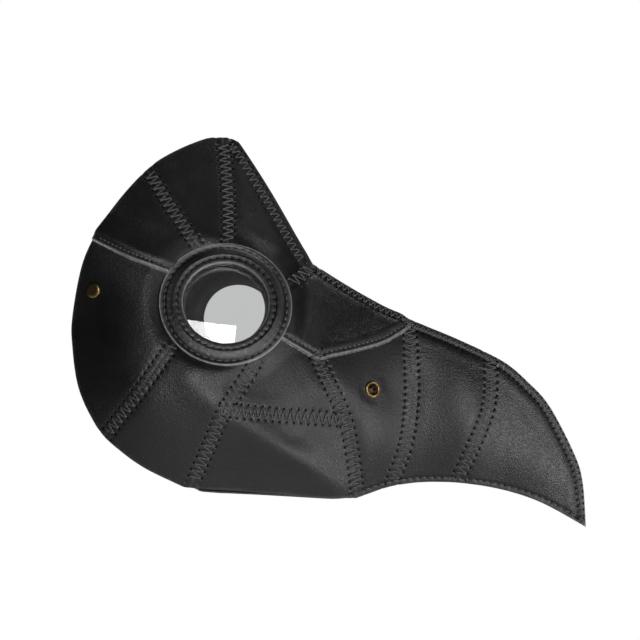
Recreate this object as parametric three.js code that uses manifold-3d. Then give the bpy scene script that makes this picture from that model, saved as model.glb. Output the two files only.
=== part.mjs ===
// Leather plague doctor mask: two mirrored leather halves sewn along the middle, round stitched eye
// rings with clear lenses, a brass vent eyelet in each side of the beak and a buckled head strap on
// two temple rivets. Millimetres. +X runs to the beak tip, +Y to the wearer's left, +Z up.
// The origin is midway between the two temple rivets.
import * as THREE from 'three';
import { mergeVertices } from 'three/addons/utils/BufferGeometryUtils.js';
import Module from 'manifold-3d';

const wasm = await Module();
wasm.setup();

// ---- driving dimensions -------------------------------------------------------------------------
const LEATHER = 1.8; // thickness of every leather panel
const KERF = 0.4; // gap between panels that are sewn edge to edge
const TOUCH = 0.3; // gap between two pieces that rest on each other
const RIDGE_HALF = 2.1; // half width of the mask along its sewn middle edge
const GRID = 12; // pitch of the facets on the leather
const SHEET = [-22, 286, -142, 104]; // x and z limits of the leather before it is cut
const SLAB = 90; // depth of the cutting blocks, more than half the mask's width

const EYE = { x: 74.6, z: -8.3, half: 47, slopeX: -0.16, slopeZ: -0.3, flat: 30, blend: 47 };
const RING_OUTER = 37.2; // eye ring, outer radius
const RING_INNER = 24.2; // eye ring, radius of the opening
const LENS_RADIUS = 26.5;
const LENS_THICK = 1;
const RING_BASE = 1.3; // the ring's underside above the leather, clear of the leather's facets
const LENS_BACK = -LEATHER - RING_BASE - LENS_THICK; // inner face of the lens, from the leather's outer face

const EYELET = { x: 156, z: -54.7, outer: 5, bore: 3, barrel: 3.6 };
const RIVET = { x: 0, z: 0, cap: 4.5, post: 1.6 };

const STRAP_WIDTH = 15;
const STRAP_THICK = 2;
const STRAP_DROP = 44; // degrees below level that a stowed strap points forward, inside the mask
const STRAP_PLAY = 1.2; // room between the leather and a strap, so that the strap can turn
const STRAP_HEAD = 9; // strap beyond the rivet
const LONG_STRAP = [{ run: 18, turn: 0 }, { run: 120, turn: 58 }, { run: 21, turn: 0 }];
const SHORT_STRAP = [{ run: 15, turn: 0 }, { run: 26, turn: 28 }, { run: 26, turn: 0 }];
const LONG_STEP = 7; // distance between the long strap's facets; a buckle hole sits on every other one
const SHORT_STEP = 8;
const HOLES = { facets: 7, radius: 1.7 }; // buckle holes, over the last facets of the long strap
const BUCKLE = { width: 26, length: 18.2, wire: 2.4 };
const BUCKLE_LOOP = { outer: 4.1, bore: 2.1, fold: 22, slot: 2.5 }; // short strap's turn round the bar
const KEEPER = { half: 3, wall: 1.5, play: 0.4, rise: 0.7 };

// ---- side outline, as worn (x, z) ---------------------------------------------------------------
const FOREHEAD = [[70.7, 94.5], [75.6, 92.6], [79.5, 88.5], [94.8, 64.7], [111.8, 35.1], [120.6, 19.8]];
const BEAK_TOP = [[120.6, 19.8], [146.8, 3.3], [174.6, -11.5], [202.2, -23.9], [229.8, -37.3],
  [245, -50], [257.1, -64], [270.6, -90.5], [275.4, -107], [277, -132.8]];
const BEAK_UNDER = [[277, -132.8], [249.8, -118], [222.4, -109.8], [194.9, -106.9], [167.3, -109.1],
  [145.4, -116]];
const JAW_EDGE = [[145.4, -116], [119.8, -115.1], [86.9, -113.2], [54.3, -111.3], [49, -110]];
const BACK_EDGE = [[49, -110], [29.1, -100.3], [13.7, -89.2], [2.7, -78], [-8.8, -55.5], [-13.2, -30.1],
  [-13.3, -14], [-7.8, 12.7], [-1.3, 28.8], [6.3, 42.6], [19, 60.6], [31.5, 75.1], [44, 84.7],
  [56.5, 91.8], [63, 93.9], [70.7, 94.5]];

// Sewn edge of one side: where the two halves meet.
const SEWN_EDGES = [FOREHEAD, BEAK_TOP, BEAK_UNDER];

// Half width of the mask at places that shape it: [x, z, half width].
const WIDTHS = [
  [56.5, 91.8, 11], [44, 84.7, 21], [31.5, 75.1, 31], [19, 60.6, 40], [6.3, 42.6, 46], [-1.3, 28.8, 48.5],
  [73, 60, 20], [50, 62, 29], [62, 40, 35], [90, 40, 22], [30, 40, 47], [103, 22, 22],
  [0, 0, 50], [-13, -15, 42.5], [-13, -30, 43], [-9, -55, 44.5], [3, -78, 47.5], [14, -89, 48],
  [29, -100, 47], [54, -111, 41], [18, 5, 55.5], [16, -35, 59], [30, -70, 59.5], [45, 20, 49],
  [50, -55, 61.5], [75, -56, 57.5], [75, -64, 56.5], [99, -84, 43.5], [121, -98, 26.5], [70, -90, 49],
  [87, -113, 30.5], [120, -115, 15], [95, -55, 48], [112, -55, 40.5], [120, -75, 34.5],
  [112, -15, 33], [125, -36, 32.5], [143, -33, 24], [163, -27, 12.5], [133, -14, 19], [120, 5, 14],
  [146, -55, 27], [156, -54.7, 20], [166, -55, 14.5], [141, -74, 25], [144, -93, 14.5], [131, -55, 34],
  [178, -43, 10.5], [178, -66, 12], [172, -90, 9], [200, -66, 9.5], [223, -57, 6.5], [217, -80, 7.5],
  [204, -96, 5.5], [245, -75, 5.6], [245, -100, 5.2], [262, -105, 4],
];

// Seams between panels, each ending past the edge that it runs into.
const SEAMS = [
  [[25, 74.4], [41, 46], [54.7, 23.6], [62, 11]],
  [[67.6, 97], [73.1, 60.5], [75.8, 26.8], [76, 12]],
  [[-5, 31], [21.3, 17.6], [45.4, 8.6], [56, 3]],
  [[3.5, -85.8], [27.9, -58.2], [48.6, -29.2], [58, -18]],
  [[51.5, -116.5], [65.3, -89.3], [74.9, -68.1], [93.1, -38.7], [88, -26]],
  [[72, -67.9], [107.4, -70.7], [143, -72.5]],
  [[123.8, -34.4], [133.5, -54.5], [140.6, -72.4], [144, -91.8], [147, -119]],
  [[123.7, 23], [107.9, 2.6], [96, -5]],
  [[95, -18], [106.3, -27.2], [124.2, -37.2], [143.7, -34], [163.2, -26.5], [177.8, -17.2]],
  [[176.2, -8], [178.4, -43.3], [177.8, -66.4], [173.6, -89], [163.6, -113]],
  [[222.9, -30], [222.8, -57.5], [217, -77.6], [200.5, -112]],
];

// A point well inside each panel.
const PANELS = {
  forehead_rear: [24, 45], forehead_middle: [54, 58], forehead_front: [92, 42], temple: [20, -25],
  lower_cheek: [45, -75], cheek_front: [108, -52], jaw: [105, -92], bridge: [138, -10],
  beak_base: [158, -68], beak_middle: [198, -64], beak_tip: [248, -82],
};

// ---- materials ----------------------------------------------------------------------------------
const leather = () => new THREE.MeshStandardMaterial({ color: 0x1b1b1c, roughness: 0.5, metalness: 0 });
const foam = () => new THREE.MeshStandardMaterial({ color: 0x2a2a2a, roughness: 0.95, metalness: 0 });
const brass = () => new THREE.MeshStandardMaterial({ color: 0x7a5a2c, roughness: 0.4, metalness: 1 });
const clear = () => new THREE.MeshStandardMaterial({ color: 0xe8ecee, roughness: 0.05, metalness: 0,
  transparent: true, opacity: 0.25 });

// ---- solids -------------------------------------------------------------------------------------
function solid(geometry) {
  const bare = geometry.clone();
  for (const name of Object.keys(bare.attributes)) {
    if (name !== 'position') bare.deleteAttribute(name);
  }
  const merged = mergeVertices(bare, 1e-4);
  return new wasm.Manifold(new wasm.Mesh({
    numProp: 3,
    vertProperties: new Float32Array(merged.attributes.position.array),
    triVerts: new Uint32Array(merged.index.array),
  }));
}

function toGeometry(body) {
  const data = body.getMesh();
  const geometry = new THREE.BufferGeometry();
  geometry.setAttribute('position', new THREE.BufferAttribute(new Float32Array(data.vertProperties), 3));
  geometry.setIndex(Array.from(data.triVerts));
  return geometry;
}

// Closed body from rings of points: each ring joins the next, and the last may join the first.
function loft(rings, closed) {
  const count = rings[0].length;
  const position = rings.flat().flatMap((p) => [p.x, p.y, p.z]);
  const index = [];
  const steps = closed ? rings.length : rings.length - 1;
  for (let i = 0; i < steps; i++) {
    const a = i * count;
    const b = ((i + 1) % rings.length) * count;
    for (let j = 0; j < count; j++) {
      const k = (j + 1) % count;
      index.push(a + j, b + j, b + k, a + j, b + k, a + k);
    }
  }
  if (!closed) {
    const last = (rings.length - 1) * count;
    for (let j = 1; j < count - 1; j++) {
      index.push(0, j, j + 1, last, last + j + 1, last + j);
    }
  }
  const geometry = new THREE.BufferGeometry();
  geometry.setAttribute('position', new THREE.Float32BufferAttribute(position, 3));
  geometry.setIndex(index);
  return outward(geometry);
}

// Turns a closed body the right way out.
function outward(geometry) {
  const p = geometry.attributes.position;
  const index = geometry.index.array;
  const corner = [new THREE.Vector3(), new THREE.Vector3(), new THREE.Vector3()];
  let volume = 0;
  for (let i = 0; i < index.length; i += 3) {
    corner.forEach((v, k) => v.fromBufferAttribute(p, index[i + k]));
    volume += corner[0].dot(corner[1].clone().cross(corner[2]));
  }
  if (volume < 0) geometry.setIndex(Array.from(index).reverse());
  return geometry;
}

// ---- the shape of one side ----------------------------------------------------------------------
const spline = (points, step) => {
  const curve = new THREE.SplineCurve(points.map(([x, z]) => new THREE.Vector2(x, z)));
  return curve.getSpacedPoints(Math.max(1, Math.round(curve.getLength() / step)));
};

// Thin plate through the given heights: the smoothest surface that passes all of them.
function thinPlate(points) {
  const n = points.length;
  const kernel = (dx, dz) => {
    const r2 = dx * dx + dz * dz;
    return r2 > 0 ? r2 * Math.log(r2) : 0;
  };
  const rows = points.map(([x, z, h]) => [...points.map(([u, v]) => kernel(x - u, z - v)), 1, x, z, h]);
  rows.push([...points.map(() => 1), 0, 0, 0, 0]);
  rows.push([...points.map(([x]) => x), 0, 0, 0, 0]);
  rows.push([...points.map(([, z]) => z), 0, 0, 0, 0]);
  const k = solve(rows);
  return (x, z) => points.reduce((sum, [u, v], i) => sum + k[i] * kernel(x - u, z - v),
    k[n] + k[n + 1] * x + k[n + 2] * z);
}

// Gaussian elimination on rows that end with their right-hand side.
function solve(rows) {
  const n = rows.length;
  for (let c = 0; c < n; c++) {
    let best = c;
    for (let r = c + 1; r < n; r++) if (Math.abs(rows[r][c]) > Math.abs(rows[best][c])) best = r;
    [rows[c], rows[best]] = [rows[best], rows[c]];
    for (let r = 0; r < n; r++) {
      if (r === c) continue;
      const factor = rows[r][c] / rows[c][c];
      for (let j = c; j <= n; j++) rows[r][j] -= factor * rows[c][j];
    }
  }
  return rows.map((row, i) => row[n] / row[i]);
}

const edgeHeights = SEWN_EDGES.flatMap((edge) => spline(edge, 14).slice(0, -1))
  .map((p) => [p.x, p.y, RIDGE_HALF]);
const plate = thinPlate([...edgeHeights, ...WIDTHS]);
const smooth = (t) => t * t * (3 - 2 * t);

// Half width of the mask at (x, z), with a flat seat for the lens.
function halfWidth(x, z) {
  const dx = x - EYE.x;
  const dz = z - EYE.z;
  const seat = EYE.half + EYE.slopeX * dx + EYE.slopeZ * dz;
  const t = THREE.MathUtils.clamp((Math.hypot(dx, dz) - EYE.flat) / (EYE.blend - EYE.flat), 0, 1);
  return THREE.MathUtils.lerp(seat, plate(x, z), smooth(t));
}

// Outward unit normal of the right side at (x, z).
function normalAt(x, z) {
  const d = 0.5;
  const gx = (halfWidth(x + d, z) - halfWidth(x - d, z)) / (2 * d);
  const gz = (halfWidth(x, z + d) - halfWidth(x, z - d)) / (2 * d);
  return new THREE.Vector3(-gx, -1, -gz).normalize();
}

const onRight = (x, z, lift = 0) => new THREE.Vector3(x, -halfWidth(x, z) - lift, z);

// ---- leather panels of the right side -----------------------------------------------------------
// Sheet of leather over the whole side, on a square grid, before it is cut to its outline.
function sideSheet() {
  const [x0, x1, z0, z1] = SHEET;
  const nx = Math.round((x1 - x0) / GRID);
  const nz = Math.round((z1 - z0) / GRID);
  const rings = [];
  for (let i = 0; i <= nx; i++) {
    const x = x0 + ((x1 - x0) * i) / nx;
    const ring = [];
    for (let j = 0; j <= nz; j++) {
      const z = z0 + ((z1 - z0) * j) / nz;
      ring.push(onRight(x, z));
    }
    for (let j = nz; j >= 0; j--) {
      const z = z0 + ((z1 - z0) * j) / nz;
      const depth = LEATHER / -normalAt(x, z).y;
      ring.push(onRight(x, z, -depth));
    }
    rings.push(ring);
  }
  return solid(sheetGeometry(rings, nz + 1));
}

// Closed sheet from rings that run up the outer face and down the inner face.
function sheetGeometry(rings, rows) {
  const count = rings[0].length;
  const geometry = loft(rings, false);
  const index = Array.from(geometry.index.array).slice(0, (rings.length - 1) * count * 6);
  const flipped = geometry.index.array[1] !== count;
  for (const [base, turn] of [[0, flipped], [(rings.length - 1) * count, !flipped]]) {
    for (let j = 0; j < rows - 1; j++) {
      const quad = [base + j, base + j + 1, base + count - 2 - j, base + count - 1 - j];
      const corners = turn ? [...quad].reverse() : quad;
      index.push(corners[0], corners[1], corners[2], corners[0], corners[2], corners[3]);
    }
  }
  geometry.setIndex(index);
  return outward(geometry);
}

// Straight-sided block of an outline drawn in (x, z), running from the middle across the right side.
function block(points) {
  const shape = new THREE.Shape(points.map((p) => new THREE.Vector2(p.x, p.y)));
  const geometry = new THREE.ExtrudeGeometry(shape, { depth: SLAB, bevelEnabled: false });
  geometry.applyMatrix4(new THREE.Matrix4().makeBasis(new THREE.Vector3(1, 0, 0),
    new THREE.Vector3(0, 0, 1), new THREE.Vector3(0, -1, 0)).setPosition(0, -TOUCH / 2, 0));
  return solid(outward(mergeVertices(stripped(geometry), 1e-4)));
}

function stripped(geometry) {
  const bare = new THREE.BufferGeometry();
  bare.setAttribute('position', geometry.attributes.position);
  if (geometry.index) bare.setIndex(geometry.index);
  return bare;
}

function sideOutline() {
  const parts = [[FOREHEAD, GRID], [BEAK_TOP, GRID], [BEAK_UNDER, 16], [JAW_EDGE, 30], [BACK_EDGE, GRID]];
  return parts.flatMap(([edge, step]) => spline(edge, step).slice(0, -1));
}

// Thin ribbon that parts two panels along a seam.
function seamCut(points) {
  const line = spline(points, 15);
  const left = [];
  const right = [];
  line.forEach((p, i) => {
    const a = line[Math.max(0, i - 1)];
    const b = line[Math.min(line.length - 1, i + 1)];
    const side = new THREE.Vector2(-(b.y - a.y), b.x - a.x).normalize().multiplyScalar(KERF / 2);
    left.push(p.clone().add(side));
    right.push(p.clone().sub(side));
  });
  return block([...left, ...right.reverse()]);
}

// Round bar along the surface normal at (x, z), from `inside` below the outer face to `outside` above.
function normalBar(x, z, radius, inside, outside) {
  const bar = new THREE.CylinderGeometry(radius, radius, inside + outside, 20);
  bar.translate(0, (outside - inside) / 2, 0);
  return solid(seated(bar, x, z));
}

// Moves a shape made around +Y so that +Y is the surface normal at (x, z).
function seated(geometry, x, z) {
  const turn = new THREE.Quaternion().setFromUnitVectors(new THREE.Vector3(0, 1, 0), normalAt(x, z));
  geometry.applyQuaternion(turn);
  const at = onRight(x, z);
  geometry.translate(at.x, at.y, at.z);
  return geometry;
}

function panels() {
  let side = sideSheet().intersect(block(sideOutline()));
  for (const seam of SEAMS) side = side.subtract(seamCut(seam));
  side = side.subtract(normalBar(EYE.x, EYE.z, RING_INNER, 12, 12));
  side = side.subtract(normalBar(EYELET.x, EYELET.z, EYELET.barrel + TOUCH, 6, 4));
  side = side.subtract(normalBar(EYELET.x, EYELET.z, EYELET.outer + TOUCH, -0.05, 3));
  side = side.subtract(normalBar(RIVET.x, RIVET.z, RIVET.post + TOUCH, 6, 4));
  side = side.subtract(normalBar(RIVET.x, RIVET.z, RIVET.cap + TOUCH, -0.05, 3));
  const found = new Map();
  for (const piece of side.decompose()) {
    const box = piece.boundingBox();
    const middle = [(box.min[0] + box.max[0]) / 2, (box.min[2] + box.max[2]) / 2];
    const name = Object.keys(PANELS).sort((a, b) => gap(PANELS[a], middle) - gap(PANELS[b], middle))[0];
    const known = found.get(name);
    if (!known || known.volume() < piece.volume()) found.set(name, piece);
  }
  return [...found].map(([name, body]) => [name, toGeometry(body), leather]);
}

const gap = (a, b) => Math.hypot(a[0] - b[0], a[1] - b[1]);

// ---- eye ring, its padding, the lens and the lens retainer --------------------------------------
// Turns a closed profile of [radius, height above the leather] about the eye, following the leather.
function aroundEye(profile, segments) {
  const out = normalAt(EYE.x, EYE.z);
  const along = new THREE.Vector3(1, 0, 0).projectOnPlane(out).normalize();
  const up = out.clone().cross(along).normalize();
  const rings = [];
  for (let i = 0; i < segments; i++) {
    const a = (2 * Math.PI * i) / segments;
    const ray = along.clone().multiplyScalar(Math.cos(a)).addScaledVector(up, Math.sin(a));
    rings.push(profile.map(([r, height]) => {
      const x = EYE.x + ray.x * r;
      const z = EYE.z + ray.z * r;
      return onRight(x, z).addScaledVector(out, height);
    }));
  }
  return loft(rings, true);
}

const RING_TOP = [[RING_INNER, 2.6], [25.6, 5.2], [28.6, 6.2], [31.4, 5.2], [33.4, 3]];
const eyeRing = () => aroundEye([[RING_INNER, RING_BASE], ...RING_TOP, [RING_OUTER, 2.9],
  [RING_OUTER, RING_BASE], [32.4, RING_BASE], [30.8, 3.4], [28.6, 4.4], [26.4, 3.6], [25.8, RING_BASE]],
32);
const eyeRingPadding = () => aroundEye([[26.3, RING_BASE], [26.8, 3.2], [28.6, 4], [30.4, 3],
  [31.6, RING_BASE]], 28);
const lensDisc = () => aroundEyeDisc(LENS_RADIUS, LENS_BACK, LENS_THICK);
const lensRetainer = () => {
  const top = LENS_BACK - TOUCH;
  return aroundEye([[22.5, top], [31, top], [31, top - 1.4], [22.5, top - 1.4]], 32);
};

function aroundEyeDisc(radius, low, thick) {
  const disc = new THREE.CylinderGeometry(radius, radius, thick, 32);
  disc.translate(0, low + thick / 2, 0);
  return stripped(mergeVertices(stripped(seated(disc, EYE.x, EYE.z)), 1e-4));
}

// ---- brass: vent eyelet and temple rivet --------------------------------------------------------
const lathe = (profile, segments, x, z) => {
  const points = profile.map(([r, h]) => new THREE.Vector2(r, h));
  const turned = seated(new THREE.LatheGeometry(points, segments), x, z);
  return outward(mergeVertices(stripped(turned), 1e-4));
};

const BACK = -LEATHER - TOUCH; // inner face of the leather with its gap, below the outer face
const ventEyelet = () => lathe([[EYELET.bore, BACK - 1], [EYELET.barrel, BACK - 1], [EYELET.barrel, TOUCH],
  [EYELET.outer, TOUCH], [EYELET.outer, 0.6], [4.5, 1.2], [3.6, 1.3], [EYELET.bore, 0.9],
  [EYELET.bore, BACK - 1]], 20, EYELET.x, EYELET.z);
const eyeletWasher = () => lathe([[EYELET.barrel + TOUCH, BACK], [EYELET.outer, BACK],
  [EYELET.outer, BACK - 0.7], [EYELET.barrel + TOUCH, BACK - 0.7], [EYELET.barrel + TOUCH, BACK]],
20, EYELET.x, EYELET.z);

const STRAP_FACE = BACK - STRAP_PLAY; // outer face of the strap, below the outer face of the leather
const BURR_FACE = STRAP_FACE - STRAP_THICK - TOUCH;
const rivetCap = () => lathe([[0, BURR_FACE - 1.2], [RIVET.post, BURR_FACE - 1.2], [RIVET.post, TOUCH],
  [RIVET.cap, TOUCH], [RIVET.cap, 0.6], [3.9, 1.2], [2.8, 1.5], [0, 1.5]], 20, RIVET.x, RIVET.z);
const rivetBurr = () => lathe([[RIVET.post + TOUCH, BURR_FACE], [3.6, BURR_FACE], [3.6, BURR_FACE - 0.8],
  [RIVET.post + TOUCH, BURR_FACE - 0.8], [RIVET.post + TOUCH, BURR_FACE]], 20, RIVET.x, RIVET.z);

const RIGHT_PIECES = [
  ['eye_ring', eyeRing(), leather], ['eye_ring_padding', eyeRingPadding(), foam],
  ['lens', lensDisc(), clear], ['lens_retainer', lensRetainer(), leather],
  ['vent_eyelet', ventEyelet(), brass], ['vent_eyelet_washer', eyeletWasher(), brass],
  ['temple_rivet', rivetCap(), brass], ['temple_rivet_burr', rivetBurr(), brass],
];

// ---- head strap ---------------------------------------------------------------------------------
// A strap is drawn lying along +X from its rivet at the origin, with +Z towards the wearer's head.
// Its path runs level from behind the rivet and then curls towards the head.
function strapPath(parts, step) {
  const stops = [];
  let [x, z, angle] = [-STRAP_HEAD, 0, 0];
  stops.push({ x, z, angle });
  for (const { run, turn } of parts) {
    const count = Math.max(1, Math.round(run / step));
    for (let i = 0; i < count; i++) {
      const half = THREE.MathUtils.degToRad(turn / count / 2);
      x += (run / count) * Math.cos(angle + half);
      z += (run / count) * Math.sin(angle + half);
      angle += 2 * half;
      stops.push({ x, z, angle });
    }
  }
  return stops;
}

// Flat band along a path: half width at a given length along it, thickness towards the head.
function band(path, halfWidthAt) {
  let length = 0;
  const rings = path.map((stop, i) => {
    if (i > 0) length += Math.hypot(stop.x - path[i - 1].x, stop.z - path[i - 1].z);
    const half = halfWidthAt(length);
    const [dx, dz] = [-Math.sin(stop.angle) * STRAP_THICK, Math.cos(stop.angle) * STRAP_THICK];
    return [new THREE.Vector3(stop.x, -half, stop.z), new THREE.Vector3(stop.x, half, stop.z),
      new THREE.Vector3(stop.x + dx, half, stop.z + dz), new THREE.Vector3(stop.x + dx, -half, stop.z + dz)];
  });
  return solid(loft(rings, false));
}

const bar = (radius, length, segments, matrix) => {
  const geometry = new THREE.CylinderGeometry(radius, radius, length, segments);
  return solid(geometry.applyMatrix4(matrix));
};
const box = (x0, x1, y0, y1, z0, z1) => solid(new THREE.BoxGeometry(x1 - x0, y1 - y0, z1 - z0)
  .translate((x0 + x1) / 2, (y0 + y1) / 2, (z0 + z1) / 2));

// Placement of one stop of a path: +X along it, +Z towards the head.
const atStop = ({ x, z, angle }, lift = 0) => new THREE.Matrix4().makeRotationY(-angle)
  .setPosition(x - Math.sin(angle) * lift, 0, z + Math.cos(angle) * lift);
const upright = new THREE.Matrix4().makeRotationX(Math.PI / 2);

function longStrap() {
  const path = strapPath(LONG_STRAP, LONG_STEP);
  const total = LONG_STRAP.reduce((sum, part) => sum + part.run, 0);
  const half = STRAP_WIDTH / 2;
  let body = band(path, (s) => half * Math.min(1, 0.55 + s / 12, 0.25 + (total - s) / 14));
  body = body.subtract(bar(RIVET.post + TOUCH, 12, 16, upright));
  const holes = path.slice(-HOLES.facets, -1).filter((stop, i) => i % 2 === 0);
  for (const stop of holes) {
    body = body.subtract(bar(HOLES.radius, 12, 10, atStop(stop).multiply(upright)));
  }
  return body;
}

// The short strap folds round the buckle's bar and is sewn back on itself.
function shortStrap() {
  const path = strapPath(SHORT_STRAP, SHORT_STEP);
  const end = BUCKLE_STOP;
  const half = STRAP_WIDTH / 2;
  const loop = bar(BUCKLE_LOOP.outer, STRAP_WIDTH, 20, new THREE.Matrix4());
  const fold = box(-BUCKLE_LOOP.fold, 0, -half, half, -0.2, STRAP_THICK);
  const bore = bar(BUCKLE_LOOP.bore, STRAP_WIDTH + 2, 20, new THREE.Matrix4());
  const slot = box(-9, 6, -BUCKLE_LOOP.slot, BUCKLE_LOOP.slot, -6, 6);
  const place = atStop(end, STRAP_THICK);
  let body = band(path, (s) => half * Math.min(1, 0.55 + s / 12));
  body = body.add(moved(loop, place)).add(moved(fold, place));
  body = body.subtract(moved(bore, place)).subtract(moved(slot, place));
  return body.subtract(bar(RIVET.post + TOUCH, 12, 16, upright));
}

const BUCKLE_STOP = strapPath(SHORT_STRAP, SHORT_STEP).at(-1);
const KEEPER_STOP = strapPath(SHORT_STRAP, SHORT_STEP).at(-4);

const moved = (body, matrix) => body.transform(matrix.elements);

// Buckle frame drawn with its bar along Y through the origin.
function buckleFrame() {
  const { width, length, wire } = BUCKLE;
  const outer = roundedBox(-wire / 2, length - wire / 2, width / 2, 3);
  outer.holes.push(roundedBox(wire / 2, length - 1.5 * wire, width / 2 - wire, 1));
  const geometry = new THREE.ExtrudeGeometry(outer, { depth: wire, bevelEnabled: false, curveSegments: 4 });
  return moved(solid(geometry.translate(0, 0, -wire / 2)), atStop(BUCKLE_STOP, STRAP_THICK));
}

function roundedBox(x0, x1, half, r) {
  const shape = new THREE.Shape();
  shape.moveTo(x0 + r, -half);
  shape.lineTo(x1 - r, -half);
  shape.quadraticCurveTo(x1, -half, x1, -half + r);
  shape.lineTo(x1, half - r);
  shape.quadraticCurveTo(x1, half, x1 - r, half);
  shape.lineTo(x0 + r, half);
  shape.quadraticCurveTo(x0, half, x0, half - r);
  shape.lineTo(x0, -half + r);
  shape.quadraticCurveTo(x0, -half, x0 + r, -half);
  return shape;
}

function bucklePin() {
  const eye = bar(3, 3.4, 18, new THREE.Matrix4());
  const bore = bar(2, 6, 18, new THREE.Matrix4());
  const arm = box(1.2, BUCKLE.length - 0.6, -1.1, 1.1, BUCKLE.wire / 2 + TOUCH, BUCKLE.wire / 2 + 1.7);
  return moved(eye.add(arm).subtract(bore), atStop(BUCKLE_STOP, STRAP_THICK));
}

function strapKeeper() {
  const { half, wall, play, rise } = KEEPER;
  const side = STRAP_WIDTH / 2 + play;
  const top = 2 * STRAP_THICK + rise;
  const outer = box(-half, half, -side - wall, side + wall, -play - wall, top + wall);
  const inner = box(-half - 1, half + 1, -side, side, -play, top);
  return moved(outer.subtract(inner), atStop(KEEPER_STOP));
}

// Swings a strap piece into the mask, stowed against the right side.
function stowed(body) {
  const out = normalAt(RIVET.x, RIVET.z);
  const head = out.clone().negate();
  const level = new THREE.Vector3(1, 0, 0).projectOnPlane(out).normalize();
  const down = head.clone().cross(level).normalize();
  const drop = THREE.MathUtils.degToRad(STRAP_DROP);
  const along = level.multiplyScalar(Math.cos(drop)).addScaledVector(down, Math.sin(drop));
  const across = head.clone().cross(along);
  const at = onRight(RIVET.x, RIVET.z).addScaledVector(out, STRAP_FACE);
  const place = new THREE.Matrix4().makeBasis(along, across, head).setPosition(at);
  return toGeometry(moved(body, place));
}

// ---- assembly -----------------------------------------------------------------------------------
const mask = new THREE.Group();

function addPiece(name, geometry, material) {
  const mesh = new THREE.Mesh(geometry, material());
  mesh.name = name;
  mask.add(mesh);
}

function mirrored(geometry) {
  const copy = geometry.clone();
  copy.applyMatrix4(new THREE.Matrix4().makeScale(1, -1, 1));
  return outward(copy.index ? copy : mergeVertices(copy, 1e-4));
}

for (const [name, geometry, material] of [...panels(), ...RIGHT_PIECES]) {
  addPiece(`${name}_right`, geometry, material);
  addPiece(`${name}_left`, mirrored(geometry), material);
}

addPiece('long_strap', stowed(longStrap()), leather);
addPiece('short_strap', mirrored(stowed(shortStrap())), leather);
addPiece('strap_keeper', mirrored(stowed(strapKeeper())), leather);
addPiece('buckle_frame', mirrored(stowed(buckleFrame())), brass);
addPiece('buckle_pin', mirrored(stowed(bucklePin())), brass);

export default mask;
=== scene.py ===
import math

import bpy
import numpy as np
from mathutils import Matrix, Vector
from mathutils.geometry import delaunay_2d_cdt


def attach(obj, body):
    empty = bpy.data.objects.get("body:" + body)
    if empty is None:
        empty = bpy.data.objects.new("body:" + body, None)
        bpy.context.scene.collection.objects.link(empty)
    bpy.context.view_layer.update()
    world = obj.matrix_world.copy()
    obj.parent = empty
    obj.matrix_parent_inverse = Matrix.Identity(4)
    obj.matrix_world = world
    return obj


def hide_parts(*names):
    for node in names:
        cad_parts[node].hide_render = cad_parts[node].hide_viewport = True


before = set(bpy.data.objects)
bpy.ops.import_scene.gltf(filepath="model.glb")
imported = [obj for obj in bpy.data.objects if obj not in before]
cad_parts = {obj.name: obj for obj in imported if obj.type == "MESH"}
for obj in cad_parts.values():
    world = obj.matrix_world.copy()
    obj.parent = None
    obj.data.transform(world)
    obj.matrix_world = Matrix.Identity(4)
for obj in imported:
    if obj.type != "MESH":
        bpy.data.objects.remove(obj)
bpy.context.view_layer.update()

MM = 0.001

# ---- shape of the mask ----
LEATHER = 1.8            # thickness of the panels
RIDGE_HALF = 2.1         # half width of the mask where its halves are sewn together
EYE_AT = np.array([74.6, -8.3])
EYE_HALF = 47.0          # half width at the eye, and how it falls off along x and z
EYE_SLOPE = np.array([-0.16, -0.3])
EYE_FLAT, EYE_BLEND = 30.0, 47.0   # flat out to the first radius, free from the second on
RING_OUTER, RING_INNER = 37.2, 24.2
LENS_BACK = -4.1         # the lens's back face below the leather's outer face
EYELET_AT = np.array([156.0, -54.7])
RIVET_AT = np.array([0.0, 0.0])
TOUCH = 0.3              # gap between pieces that lie against each other
CURVE_STEP = 0.8         # between the points of a drawn line

FOREHEAD = [[70.7, 94.5], [75.6, 92.6], [79.5, 88.5], [94.8, 64.7], [111.8, 35.1], [120.6, 19.8]]
BEAK_TOP = [[120.6, 19.8], [146.8, 3.3], [174.6, -11.5], [202.2, -23.9], [229.8, -37.3],
            [245, -50], [257.1, -64], [270.6, -90.5], [275.4, -107], [277, -132.8]]
BEAK_UNDER = [[277, -132.8], [249.8, -118], [222.4, -109.8], [194.9, -106.9], [167.3, -109.1],
              [145.4, -116]]
JAW_EDGE = [[145.4, -116], [119.8, -115.1], [86.9, -113.2], [54.3, -111.3], [49, -110]]
BACK_EDGE = [[49, -110], [29.1, -100.3], [13.7, -89.2], [2.7, -78], [-8.8, -55.5], [-13.2, -30.1],
             [-13.3, -14], [-7.8, 12.7], [-1.3, 28.8], [6.3, 42.6], [19, 60.6], [31.5, 75.1],
             [44, 84.7], [56.5, 91.8], [63, 93.9], [70.7, 94.5]]
OUTLINE = [FOREHEAD, BEAK_TOP, BEAK_UNDER, JAW_EDGE, BACK_EDGE]
SEWN = [FOREHEAD, BEAK_TOP, BEAK_UNDER]

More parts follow.
